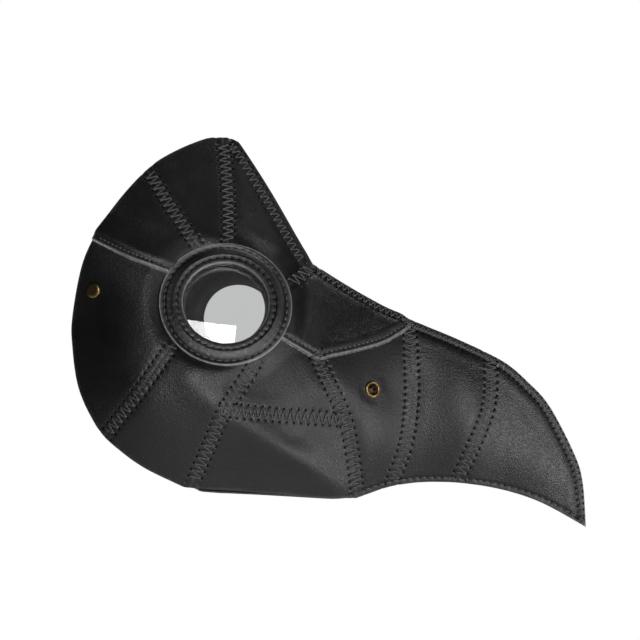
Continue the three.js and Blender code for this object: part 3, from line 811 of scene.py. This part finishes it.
# ---- threads ----
THREAD_SIDES, HOLE_SIDES = 7, 8
HOLE_RISE = 0.22         # of a hole's mouth over the bottom of its dimple
STITCH_SHARE = 0.72      # of the pitch that a running stitch covers
CLEAR_EDGE = 0.8         # no needle hole is nearer the outline than this
PLY_DEPTH, PLY_TWIST = 0.16, 2.6   # of the thread's two plies; radians of twist to the millimetre


class Sewing:
    """Collects stitches and the dark plugs of painted shade at the needle holes of one side into one
    mesh.
    """

    def __init__(self):
        self.points, self.faces, self.index = [], [], []
        self.count = 0

    def add(self, points, faces, index):
        """Adds one closed body; index 0 is thread and 1 is the painted shade of a needle hole."""
        self.points.append(points)
        self.faces += [[v + self.count for v in f] for f in faces]
        self.index += [index] * len(faces)
        self.count += len(points)

    def tubes(self, path, out, radius=THREAD):
        """Two-ply thread along each path (stitches, stops, 3), `out` its outward directions."""
        way = unit(np.gradient(path, axis=1))
        side = unit(np.cross(way, out))
        up = np.cross(side, way)
        run = np.linalg.norm(np.diff(path, axis=1), axis=2).cumsum(1)
        run = np.concatenate([np.zeros((len(path), 1)), run], 1)[:, :, None]
        a = angles(THREAD_SIDES)[None, None]
        ply = radius * (1 + PLY_DEPTH * np.cos(2 * a - run * PLY_TWIST))
        ring = (path[:, :, None] + side[:, :, None] * (ply * np.cos(a))[..., None]
                + up[:, :, None] * (ply * np.sin(a))[..., None])
        stops = path.shape[1]
        faces = loop_faces(stops, THREAD_SIDES, closed=False)
        faces.append(list(range(THREAD_SIDES))[::-1])
        faces.append([(stops - 1) * THREAD_SIDES + j for j in range(THREAD_SIDES)])
        for stitch in ring.reshape(len(path), stops * THREAD_SIDES, 3):
            self.add(stitch, faces, 0)

    def holes(self, point, out, radius):
        """Painted shade of the needle holes: small dark flat plugs in the leather."""
        sides = HOLE_SIDES
        a = angles(sides)
        along = unit(np.cross(out, [0.3, 0.2, 0.9]))
        up = np.cross(out, along)
        faces = [list(range(sides)), [sides + j for j in range(sides)][::-1]]
        faces += [[(j + 1) % sides, j, sides + j, sides + (j + 1) % sides] for j in range(sides)]
        for p, n, u, v in zip(point, out, along, up):
            ring = u * np.cos(a)[:, None] * radius + v * np.sin(a)[:, None] * radius
            self.add(np.vstack([p + ring, p + ring * 0.8 - n * 0.5]), faces, 1)

    def stitch(self, start, end, place, rise=THREAD, sink=0.75, stops=9):
        """Stitches between pairs of holes, on the surface that `place` gives."""
        t = np.linspace(0, 1, stops)
        at = start[:, None] + (end - start)[:, None] * t[None, :, None]
        height = rise - (rise + sink) * np.abs(2 * t - 1) ** 7
        point, out = place(at.reshape(-1, 2), np.tile(height, len(start)))
        shape = (len(start), stops, 3)
        self.tubes(point.reshape(shape), out.reshape(shape))

    def pierce(self, at, place, radius=0.8):
        """Dark plugs of painted shade at needle holes, at places of the surface that `place` gives.
        """
        point, out = place(at, np.full(len(at), HOLE_RISE))
        self.holes(point, out, radius)

    def finish(self, name):
        """Makes both sides' piece from what was collected."""
        both_sides(name, np.vstack(self.points), self.faces, [THREAD_LOOK, HOLE_SHADE],
                   self.index, node=False, angle=60)


def seam_span(name):
    """First and last place along a seam that stitches may take."""
    seam = SEAM[name]
    width = half_width(seam.line)
    good = (gap_to(EYE_AT, seam.line) > RING_OUTER - 1) & (width > RIDGE_HALF + 0.2)
    good &= outline_gap(seam.line) > 2 * CLEAR_EDGE
    places = seam.run[good]
    return places.min(), places.max()


def outline_gap(at):
    """Distance inside the outline; negative outside."""
    j = ((at[:, None] - OUTLINE_AT[None]) ** 2).sum(2).argmin(1)
    way = np.roll(OUTLINE_AT, -1, 0)[j] - OUTLINE_AT[j]
    gap = at - OUTLINE_AT[j]
    side = way[:, 0] * gap[:, 1] - way[:, 1] * gap[:, 0]
    return np.linalg.norm(gap, axis=1) * np.where(side < 0, 1, -1)


def sew_zigzags(sewing):
    """Wide zigzags over the butted seams, clear of the outline and the eye ring."""
    for name, seam in SEAM.items():
        if seam.kind != "zigzag":
            continue
        low, high = seam_span(name)
        count = int((high - low) / ZIGZAG_PITCH)
        left = (np.ceil(low / ZIGZAG_PITCH) + np.arange(count)) * ZIGZAG_PITCH
        upper = seam.at(left, ZIGZAG_HALF)
        lower = seam.at(left + ZIGZAG_PITCH / 2, -ZIGZAG_HALF)
        start = np.vstack([upper, lower[:-1]])
        end = np.vstack([lower, upper[1:]])
        keep = np.ones(len(start), bool)
        for at in (start, end):
            keep &= (outline_gap(at) > CLEAR_EDGE) & (gap_to(EYE_AT, at) > RING_OUTER - 1)
        sewing.stitch(start[keep], end[keep], on_mask)
        sewing.pierce(np.unique(np.vstack([start[keep], end[keep]]), axis=0), on_mask)


def sew_running(sewing, seam, off, pitch, low, high):
    """A row of straight stitches beside a line."""
    first = np.arange(math.ceil(low / pitch), int(high / pitch)) * pitch
    start, end = seam.at(first, off), seam.at(first + pitch * STITCH_SHARE, off)
    sewing.stitch(start, end, on_mask, rise=0.25, stops=7)
    sewing.pierce(start, on_mask, 0.45)


def sew_ridge(sewing, name):
    """Zigzag between the two rows of holes along an edge where the halves are joined."""
    first, second, pitch = RIDGE_ROWS[name]
    edge = EDGE[name]
    along = np.arange(1.2 * pitch, edge.length - 1.4 * pitch, pitch)
    outer, inner = edge.at(along, -first), edge.at(along + pitch / 2, -second)
    sewing.stitch(np.vstack([outer, inner[:-1]]), np.vstack([inner, outer[1:]]), on_mask)
    sewing.pierce(np.vstack([outer, inner]), on_mask)


def build_sewing():
    """All stitches of the panels."""
    sewing = Sewing()
    sew_zigzags(sewing)
    for name in RIDGE_ROWS:
        sew_ridge(sewing, name)
    under = EDGE["beak_under"]
    sew_running(sewing, under, -UNDER_ROW, UNDER_PITCH, 6, under.length - 5)
    for name, first in (("temple", 5), ("bridge", 6)):
        low, high = seam_span(name)
        sew_running(sewing, SEAM[name], LAP_STITCH, LAP_PITCH, max(first, low + 1), high - 1)
    sewing.finish("stitches")


# ---- eye ring, padding, retainer ----
def ring_point(radius, angle, height):
    """Point of the eye ring: radius and angle about the eye, height above the leather."""
    _, out, along, up = EYE_FRAME
    ray = along * np.cos(angle)[..., None] + up * np.sin(angle)[..., None]
    flat = EYE_AT + ray[..., [0, 2]] * radius[..., None]
    shape = flat.shape[:-1]
    point, _ = base(flat.reshape(-1, 2))
    return point.reshape(*shape, 3) + out * height[..., None]


EYE_FRAME = frame_at(EYE_AT)
RING_TOP = [[37.2, 0.0], [37.25, 0.9], [36.95, 1.4], [36.2, 1.45], [35.2, 1.25], [34.5, 1.0],
            [33.9, 1.7], [33.2, 2.2], [32.3, 2.6], [31.3, 2.95], [30.3, 3.25], [29.4, 3.4],
            [28.6, 3.1], [28.0, 2.7], [27.4, 2.85], [26.4, 2.9], [25.4, 2.85], [24.7, 2.6],
            [24.25, 2.0], [24.2, 1.2], [24.2, 0.0]]
PADDING_TOP = [[33.0, 0.1], [33.0, 0.9], [32.2, 1.6], [31.0, 2.1], [29.8, 2.4], [29.0, 1.7],
               [28.8, 0.1]]


def around_eye(name, profile, segments, material, shape=None, wear_and_highlight=None):
    """Turns a closed profile of [radius, height] about the eye, on the leather."""
    profile = np.array(profile)
    radius = np.repeat(profile[None, :, 0], segments, 0)
    height = np.repeat(profile[None, :, 1], segments, 0)
    turn = np.repeat(angles(segments)[:, None], len(profile), 1)
    if shape is not None:
        height = height + shape(radius, turn, height)
    points = ring_point(radius, turn, height).reshape(-1, 3)
    value = None if wear_and_highlight is None else np.tile(wear_and_highlight, segments)
    return both_sides(name, points, loop_faces(segments, len(profile)), [material],
                      wear_and_highlight=value, angle=50)


def ring_shape(radius, turn, height):
    """Pull of the stitches and slow unevenness of the padding."""
    pull = 0
    for row, count in RING_ROWS:
        step = 2 * math.pi / count
        off = ((turn + step / 2) % step - step / 2) * row
        pull = pull - 0.4 * bell(np.hypot(off, radius - row), 0.85) * (height > 0.5)
        pucker = np.cos(turn * count) * bell(np.abs(radius - row) - 2.0, 1.4)
        pull = pull - 0.04 * pucker * (height > 1)
    crown = bell(radius - 31, 2.5)
    slow = 0.16 * np.sin(3 * turn + 0.6) + 0.12 * np.sin(5 * turn + 2.1)
    return pull + crown * slow * (height > 1)


def ring_height(radius):
    """Height of the ring's top over the leather at each radius."""
    top = curve(RING_TOP[1:-1], 0.2)[::-1]
    order = np.argsort(top[:, 0])
    return np.interp(radius, top[order, 0], top[order, 1])


def build_ring():
    """Eye ring over its padding, and the lens retainer; the ring's outer and inner edges are painted
    paler, partly rubbing and partly a painted highlight.
    """
    profile = np.vstack([RING_TOP[0], curve(RING_TOP[1:-1], 0.28), RING_TOP[-1]])
    # painted highlight along the ring's outer edge and the top of its inner edge, besides rubbing
    outer_edge = bell(profile[:, 0] - RING_OUTER, 0.55) * (profile[:, 1] > 0.3)
    inner_edge = bell(profile[:, 0] - 24.5, 0.35) * (profile[:, 1] > 1.9)
    for ring in around_eye("eye_ring", profile, 256, RING, ring_shape,
                           outer_edge + 0.8 * inner_edge):
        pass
    for piece in around_eye("eye_ring_padding", curve(PADDING_TOP, 0.6), 96, FOAM):
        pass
    top = LENS_BACK - TOUCH
    retainer = [[22.5, top - 0.2], [22.7, top], [30.8, top], [31, top - 0.3], [31, top - 1.2],
                [30.8, top - 1.4], [22.7, top - 1.4], [22.5, top - 1.2]]
    around_eye("lens_retainer", retainer, 128, SIDE)


def sew_ring():
    """Both rows of stitches round the eye ring."""
    sewing = Sewing()
    for row, count in RING_ROWS:
        step = 2 * math.pi / count
        first = np.arange(count) * step
        t = np.linspace(0, 1, 7)
        turn = first[:, None] + step * 0.7 * t[None]
        radius = np.full_like(turn, row)
        height = ring_height(radius) + 0.12 - 0.9 * np.abs(2 * t - 1)[None] ** 5
        path = ring_point(radius, turn, height)
        sewing.tubes(path, np.broadcast_to(EYE_FRAME[1], path.shape), radius=0.36)
        height = ring_height(np.full(count, row)) - 0.12
        hole = ring_point(np.full(count, row), first, height)
        sewing.holes(hole, np.broadcast_to(EYE_FRAME[1], hole.shape).copy(), 0.7)
    sewing.finish("ring_stitches")


# ---- brass ----
def lathe(name, profile, at):
    """Turned brass piece: closed profile of [radius, height above the leather] about the normal."""
    segments = 64
    centre, out, along, up = frame_at(at)
    profile = np.array(profile)
    a = angles(segments)
    ray = along * np.cos(a)[:, None] + up * np.sin(a)[:, None]
    points = centre + ray[:, None] * profile[None, :, :1] + out * profile[None, :, 1:]
    both_sides(name, points.reshape(-1, 3), loop_faces(segments, len(profile), flip=True), [BRASS],
               angle=40)


def build_brass():
    """Vent eyelet with its washer, and temple rivet with its burr."""
    back = -LEATHER - TOUCH
    end = back - 2.6
    flange = curve([[3.05, end], [3.0, -1.0], [3.0, 0.4], [3.2, 0.95], [3.7, 1.28], [4.25, 1.2],
                    [4.75, 0.8], [4.98, 0.35], [4.9, 0.12]], 0.22)
    lathe("vent_eyelet", np.vstack([flange, [[3.6, 0.12], [3.6, end]]]), EYELET_AT)
    lathe("vent_eyelet_washer", [[3.9, back], [4.8, back], [5, back - 0.15], [5, back - 0.55],
                                 [4.8, back - 0.7], [3.9, back - 0.7]], EYELET_AT)
    burr = STRAP_FACE - 2.3
    cap = curve([[4.45, 0.15], [4.5, 0.5], [4.25, 0.95], [3.7, 1.3], [2.8, 1.47], [1.5, 1.5],
                 [0.02, 1.5]], 0.3)
    post = [[0.02, burr - 1.2], [1.4, burr - 1.2], [1.6, burr - 1.0], [1.6, 0.15]]
    lathe("temple_rivet", np.vstack([cap, post]), RIVET_AT)
    lathe("temple_rivet_burr", [[1.9, burr], [3.4, burr], [3.6, burr - 0.2], [3.6, burr - 0.6],
                                [3.3, burr - 0.8], [1.9, burr - 0.8]], RIVET_AT)


# ---- head strap ----
STRAP_WIDTH, STRAP_THICK = 15.0, 2.0
STRAP_DROP = 44          # degrees that a stowed strap points down from the rivet
STRAP_FACE = -LEATHER - TOUCH - 1.2
STRAP_HEAD = 9           # strap beyond the rivet
STRAP_ROUND = 6          # length of its rounded head
LONG_STRAP = [(18, 0), (120, 58), (21, 0)]   # runs, each with the degrees that it turns
LONG_STEP = 7            # between the long strap's stops; a buckle hole is at every other one
LONG_ROUND = 9
SHORT_STRAP = [(15, 0), (26, 28), (26, 0)]
SHORT_STEP = 8
RIVET_HOLE = 1.9
STITCH_PITCH, STITCH_EDGE = 3.2, 1.9
BUCKLE_WIDTH, BUCKLE_LENGTH, BUCKLE_WIRE = 26.0, 18.2, 2.4
BUCKLE_HALF = BUCKLE_WIDTH / 2 - BUCKLE_WIRE / 2
ACROSS = np.array([0, 1.0, 0])


def strap_path(parts, step):
    """Stops of a strap's face, as [along, towards the head, slope]."""
    x, z, angle = -STRAP_HEAD, 0.0, 0.0
    stops = [(x, z, angle)]
    for run, turn in parts:
        count = max(1, round(run / step))
        half = math.radians(turn) / count / 2
        for _ in range(count):
            x += run / count * math.cos(angle + half)
            z += run / count * math.sin(angle + half)
            angle += 2 * half
            stops.append((x, z, angle))
    return np.array(stops)


def stow_frame():
    """Place of a strap stowed in the mask's right side: origin, along, across, towards the head."""
    point, out, level, _ = frame_at(RIVET_AT)
    head = -out
    down = np.cross(head, level)
    drop = math.radians(STRAP_DROP)
    along = level * math.cos(drop) + down * math.sin(drop)
    return point + out * STRAP_FACE, along, np.cross(head, along), head


STOW = stow_frame()


def stow(points, left):
    """Strap coordinates to the mask's; the buckle end is mirrored to the left side."""
    origin, along, across, head = STOW
    made = origin + points[:, :1] * along + points[:, 1:2] * across + points[:, 2:] * head
    return made * MIRROR if left else made


class StrapLine:
    """The smooth line of a strap's face, and places on and under it."""

    def __init__(self, points, left):
        self.line = curve(points)
        self.run = lengths(self.line)
        self.way = unit(np.gradient(self.line, axis=0))
        self.left = left

    def place(self, at, depth):
        """Point at each (length along, place across), this deep towards the head; its normal."""
        x, z, tx, tz = (np.interp(at[:, 0], self.run, v) for v in (*self.line.T, *self.way.T))
        size = np.hypot(tx, tz)
        point = np.stack([x - tz / size * depth, at[:, 1], z + tx / size * depth], 1)
        out = stow(np.stack([-tz / size, np.zeros(len(at)), tx / size], 1), self.left)
        return stow(point, self.left), unit(out - stow(np.zeros((1, 3)), self.left))

    def head_side(self, at, height):
        """The strap's head side, where its stitches lie."""
        return self.place(at, STRAP_THICK - 0.15 + height)


def rounding(share):
    """Squared half width of a round end, from `share` 0 at its tip to 1."""
    return np.clip(1 - np.clip(1 - share, 0, 1) ** 2, 0.02, 1)


def strap_half(along, total, tip):
    """Half width of a strap along it: its head is round, and its end too where it has a tip."""
    share = rounding(along / STRAP_ROUND)
    if tip:
        share = share * rounding((total - along) / tip)
    return STRAP_WIDTH / 2 * np.sqrt(share)


def strap_sheet(name, strap, tip, holes):
    """Flat strap: cut flat with its holes (place, half length, half width), bent and thickened."""
    total = strap.run[-1]
    s = np.linspace(0.02, total, round(total / CURVE_STEP) + 1)
    half = strap_half(s, total, tip)
    rim = np.vstack([np.c_[s, half], np.c_[s, -half][::-1]])
    a = angles(20)
    lines = [(rim, True)]
    fill = honeycomb((0.6, -STRAP_WIDTH / 2 + 0.4), (total, STRAP_WIDTH / 2), 1.1)
    fill = fill[np.abs(fill[:, 1]) < strap_half(fill[:, 0], total, tip) - 0.5]
    for at, long, wide in holes:
        lines.append((np.c_[at + long * np.cos(a), wide * np.sin(a)], True))
        fill = fill[((fill[:, 0] - at) / (long + 0.4)) ** 2 + (fill[:, 1] / (wide + 0.4)) ** 2 > 1]
    flat, face, label = triangulate(lines, fill, np.array([[total * 0.5 + 0.3, 5.0]]))
    face = face[label == 0]
    edge = np.minimum(strap_half(flat[:, 0], total, tip) - np.abs(flat[:, 1]), 2)
    groove = 0.18 * bell(edge - 1.9, 0.5) + 0.3 * bell(edge, 0.5)
    outer, inner = (strap.place(flat, depth)[0]
                    for depth in (0.05 + groove, STRAP_THICK - 0.05 - groove))
    points, faces, skin, _ = thick_mesh(face, outer, inner,
                                        lambda ids: (outer[ids] + inner[ids]) / 2, strap.left)
    piece = mesh_object(f"{name}_look", points, faces, [STRAP, FLESH], skin)
    wear_and_highlight = np.zeros(len(points))
    wear_and_highlight[2 * len(np.unique(face)):] = 0.6
    set_wear_and_highlight(piece, wear_and_highlight)
    declare(piece, name, name)


def strap_stitches(name, strap, low, high):
    """A row of stitches along both edges of a strap."""
    sewing = Sewing()
    first = np.arange(low, high, STITCH_PITCH)
    for side in (-1, 1):
        y = np.full(len(first), side * (STRAP_WIDTH / 2 - STITCH_EDGE))
        sewing.stitch(np.c_[first, y], np.c_[first + STITCH_PITCH * 0.7, y], strap.head_side,
                      rise=0.2, sink=0.5, stops=7)
        sewing.pierce(np.c_[first, y], strap.head_side, 0.4)
    piece = mesh_object(f"{name}_stitches", np.vstack(sewing.points), sewing.faces,
                        [THREAD_LOOK, HOLE_SHADE], sewing.index, 60)
    declare(piece, name)


def build_long_strap():
    """Strap with three buckle holes near its rounded end."""
    path = strap_path(LONG_STRAP, LONG_STEP)
    stops = lengths(path[:, :2])
    strap = StrapLine(path[:, :2], False)
    holes = [(STRAP_HEAD, RIVET_HOLE, RIVET_HOLE)] + [(at, 1.7, 1.7) for at in stops[-7:-1:2]]
    strap_sheet("long_strap", strap, LONG_ROUND, holes)
    strap_stitches("long_strap", strap, 18, stops[-9])


def strap_end(stop):
    """Place on the short strap's head side at one of its stops, and its ways on and up."""
    x, z, angle = strap_path(SHORT_STRAP, SHORT_STEP)[stop]
    way = np.array([math.cos(angle), 0, math.sin(angle)])
    up = np.array([-way[2], 0, way[0]])
    return np.array([x, 0, z]) + up * STRAP_THICK, way, up


def build_short_strap():
    """Strap folded round the buckle's bar, with a slot for the pin, and sewn back on itself."""
    path = strap_path(SHORT_STRAP, SHORT_STEP)[:, :2]
    centre, away, up = (v[[0, 2]] for v in strap_end(-1))
    turn = [centre + 3.95 * (away * math.sin(a) - up * math.cos(a))
            for a in np.radians([-10, 20, 50, 80, 110, 140, 170, 190])]
    back = [centre + up * (STRAP_THICK + 0.25) - away * d for d in (6, 9, 14, 20)]
    bend = [path[-2] * 0.35 + path[-1] * 0.65 - up * 0.3]
    strap = StrapLine(np.vstack([path[:-1], bend, turn, back]), True)
    fold = ((strap.line - (centre + away * 3.9)) ** 2).sum(1).argmin()
    strap_sheet("short_strap", strap, 0,
                [(STRAP_HEAD, RIVET_HOLE, RIVET_HOLE), (strap.run[fold], 7.5, 2.3)])
    strap_stitches("short_strap", strap, 16, 44)


def rounded_loop(low, high, corner, stops, step):
    """Rectangle between two corners, rounded, with points at most about `step` apart."""
    flat = []
    turns = ((high[0] - corner, high[1] - corner), (low[0] + corner, high[1] - corner),
             (low[0] + corner, low[1] + corner), (high[0] - corner, low[1] + corner))
    for k, (x, y) in enumerate(turns):
        for a in np.radians(np.linspace(90 * k, 90 * k + 90, stops)):
            flat.append([x + corner * math.cos(a), y + corner * math.sin(a)])
    flat = np.array(flat)
    dense = []
    for p, q in zip(flat, np.roll(flat, -1, 0)):
        count = max(1, int(np.linalg.norm(q - p) / step))
        dense += [p + (q - p) * k / count for k in range(count)]
    return np.array(dense)


def loop_way(path):
    """Direction along a closed line at each of its points."""
    return unit(np.roll(path, -1, 0) - np.roll(path, 1, 0))


def swept(name, path, way, out, radius, body, closed, flat=1.0):
    """Brass wire along a path in strap coordinates, mirrored to the left side."""
    sides = 14
    side = unit(np.cross(way, out))
    up = np.cross(side, way) * flat
    a = angles(sides)[None, :, None]
    ring = path[:, None] + (side[:, None] * np.cos(a) + up[:, None] * np.sin(a)) * radius
    faces = loop_faces(len(path), sides, closed, flip=True)
    if not closed:
        faces.append(list(range(sides)))
        faces.append([(len(path) - 1) * sides + j for j in range(sides)][::-1])
    piece = mesh_object(f"{name}_look", stow(ring.reshape(-1, 3), True), faces, [BRASS])
    declare(piece, body, name)


def build_buckle():
    """Wire frame with its bar in the strap's fold, and the pin curled round the bar."""
    centre, away, up = strap_end(-1)
    flat = rounded_loop((-0.6, -BUCKLE_HALF), (BUCKLE_LENGTH - BUCKLE_WIRE, BUCKLE_HALF), 2.4, 7, 1.5)
    flat[:, 0] = np.where(flat[:, 0] < 0.2, 0.0, flat[:, 0])
    path = centre + flat[:, :1] * away + flat[:, 1:] * ACROSS
    swept("buckle_frame", path, loop_way(path), up, BUCKLE_WIRE / 2 - 0.02, "buckle", True)
    turn = np.radians(np.linspace(-250, 35, 20))
    eye = [centre + 2.5 * (away * math.sin(a) + up * math.cos(a)) for a in turn]
    arm = [centre + away * d + up * h for d, h in
           ((3.2, 2.1), (5, 1.95), (9, 2.1), (13, 2.2), (16.4, 2.15), (17.4, 2.05))]
    path = curve(np.vstack([eye, arm]), 0.7)
    swept("buckle_pin", path, unit(np.gradient(path, axis=0)), np.tile(ACROSS, (len(path), 1)),
          0.62, "pin", False, flat=1.6)


def build_keeper():
    """Leather loop round both runs of the strap, with rounded, rubbed edges."""
    centre, away, up = strap_end(-4)
    centre = centre - up * STRAP_THICK
    wide = STRAP_WIDTH / 2 + 1.15
    flat = rounded_loop((-wide, -1.15), (wide, 2 * STRAP_THICK + 1.45), 1.8, 6, 1.2)
    loop = centre + flat[:, :1] * ACROSS + flat[:, 1:] * up
    out = unit(np.cross(loop_way(loop), away))
    section = [(-2.7, 0.72), (-2.2, 0.76), (0, 0.76), (2.2, 0.76), (2.7, 0.72), (2.95, 0.4),
               (2.95, -0.4), (2.7, -0.7), (0, -0.72), (-2.7, -0.7), (-2.95, -0.4), (-2.95, 0.4)]
    rubbed = [0.2, 0, 0, 0, 0.2, 0.8, 0.8, 0.2, 0, 0.2, 0.8, 0.8]
    ring = np.stack([loop + away * a + out * b for a, b in section], 1)
    piece = mesh_object("strap_keeper_look", stow(ring.reshape(-1, 3), True),
                        loop_faces(len(loop), len(section)), [STRAP])
    set_wear_and_highlight(piece, np.tile(rubbed, len(loop)))
    declare(piece, "keeper", "strap_keeper")


# ---- studio ----
TARGET = Vector((0.12466, 0, -0.0129))
CAMERA_TURN, CAMERA_RISE, CAMERA_DISTANCE = 4, -5.5, 1.5
VIEW_WIDTH, SENSOR = 0.3712, 36
GLINT = [(5.3, -11.5), (-20.7, -9.3), (5.6, -21.2)]   # on the lens: the glint's corner, left, below
GLINT_SPREAD = (1.6, 2.6)   # the mirrored panel runs past the glint's marks by these shares
GLINT_AWAY, GLINT_GLOW = 1600, 14
ROOM_GLOW, GLASS_GLOW, WHITE_GLOW = 0.01, 0.62, 1.0
FLOOR_SIZE, FLOOR_LEVEL, FLOOR_GLOW = 12.0, -0.60, 0.03
LIGHTS = {               # turn, rise, distance, width, height, glow
    "key": (13, 2, 1.5, 0.55, 0.55, 11),
    "key_rear": (-15, 14, 1.5, 0.3, 0.3, 3),
    "key_low": (30, -14, 1.5, 0.35, 0.3, 5),
    "key_front": (58, 0, 1.5, 0.6, 0.5, 2.5),
    "jaw_front": (72, -25, 1.1, 0.35, 0.3, 9),
    "front_high": (84, 36, 1.8, 0.7, 0.7, 1.5),
    "overhead": (175, 62, 2.2, 1.3, 1.3, 4),
    "far_side": (216, 12, 1.8, 0.7, 0.7, 5),
}


def way_out(turn, rise):
    """Direction `turn` degrees round from -Y towards +X and `rise` above level."""
    turn, rise = math.radians(turn), math.radians(rise)
    return Vector((math.sin(turn) * math.cos(rise), -math.cos(turn) * math.cos(rise),
                   math.sin(rise)))


def build_camera():
    """Long lens, level with the mask's side."""
    data = bpy.data.cameras.new("camera")
    data.sensor_width = SENSOR
    data.lens = SENSOR * CAMERA_DISTANCE / VIEW_WIDTH
    data.clip_start, data.clip_end = 0.01, 100
    cam = bpy.data.objects.new("camera", data)
    bpy.context.scene.collection.objects.link(cam)
    back = way_out(CAMERA_TURN, CAMERA_RISE)
    cam.location = TARGET + back * CAMERA_DISTANCE
    cam.rotation_mode = "QUATERNION"
    cam.rotation_quaternion = (-back).to_track_quat("-Z", "Y")
    bpy.context.scene.camera = cam


def softbox(name, turn, rise, distance, width, height, glow):
    """Area light of an even radiance, facing the mask from that direction and distance."""
    data = bpy.data.lights.new(name, "AREA")
    data.shape = "RECTANGLE"
    data.size, data.size_y = width, height
    data.energy = glow * math.pi * width * height
    light = bpy.data.objects.new(name, data)
    bpy.context.scene.collection.objects.link(light)
    way = way_out(turn, rise)
    light.location = TARGET + way * distance
    light.rotation_mode = "QUATERNION"
    light.rotation_quaternion = way.to_track_quat("Z", "Y")
    return light


def lens_glint():
    """Small bright panel that the right lens mirrors into its lower rear corner."""
    centre, out, along, up = frame_at(EYE_AT)
    eye = np.array(bpy.context.scene.camera.location) / MM
    lens = centre + out * (LENS_BACK + 1)

    def mirrored(a, b):
        spot = lens + along * a + up * b
        ray = unit(spot - eye)
        return (spot + (ray - 2 * (ray @ out) * out) * GLINT_AWAY) * MM

    corner, left, low = (mirrored(*at) for at in GLINT)
    wide, tall = (left - corner) * GLINT_SPREAD[0], (low - corner) * GLINT_SPREAD[1]
    size = np.linalg.norm(wide), np.linalg.norm(tall)
    middle = corner + (wide + tall) / 2
    x = wide / size[0]
    z = unit(np.cross(x, tall))
    if z @ (middle - centre * MM) < 0:
        x, z = -x, -z
    y = np.cross(z, x)
    light = softbox("lens_glint", 0, 0, 1, *size, GLINT_GLOW)
    light.location = middle
    light.rotation_quaternion = Matrix(np.stack([x, y, z], 1).tolist()).to_quaternion()


def build_world():
    """White behind the mask; a dimmer room in its reflections, seen paler through the lenses."""
    world = bpy.data.worlds.new("studio")
    world.use_nodes = True
    bpy.context.scene.world = world
    tree = world.node_tree
    path = tree.nodes.new("ShaderNodeLightPath")
    seen = tree.nodes["Background"]
    seen.inputs["Strength"].default_value = ROOM_GLOW
    seen.inputs["Color"].default_value = (1, 1, 1, 1)
    for ray, glow in (("Is Transmission Ray", GLASS_GLOW), ("Is Camera Ray", WHITE_GLOW)):
        back = tree.nodes.new("ShaderNodeBackground")
        back.inputs["Strength"].default_value = glow
        back.inputs["Color"].default_value = (1, 1, 1, 1)
        choice = tree.nodes.new("ShaderNodeMixShader")
        for source, socket in ((path.outputs[ray], 0), (seen.outputs[0], 1), (back.outputs[0], 2)):
            tree.links.new(source, choice.inputs[socket])
        seen = choice
    tree.links.new(seen.outputs[0], tree.nodes["World Output"].inputs["Surface"])


def build_floor():
    """Plain pale floor below the mask."""
    s = Shader("floor", Roughness=1.0, Specular_IOR_Level=0.0, Emission_Color=(1, 1, 1, 1),
               Emission_Strength=FLOOR_GLOW)
    s.colour(s.noise(3), (0.86, 0.86, 0.86, 1), (0.88, 0.88, 0.88, 1))
    corners = [[x * FLOOR_SIZE, y * FLOOR_SIZE, FLOOR_LEVEL]
               for x, y in ((-1, -1), (1, -1), (1, 1), (-1, 1))]
    mesh_object("floor", np.array(corners) / MM, [[0, 1, 2, 3]], [s.item])


# ---- assembly ----
build_camera()
build_world()
build_floor()
for name, values in LIGHTS.items():
    softbox(name, *values)
lens_glint()
build_panels()
build_sewing()
build_ring()
sew_ring()
build_brass()
build_long_strap()
build_short_strap()
build_buckle()
build_keeper()
for side in ("right", "left"):
    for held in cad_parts[f"lens_{side}"].material_slots:
        held.material = LENS
bpy.context.scene.view_settings.view_transform = "Standard"
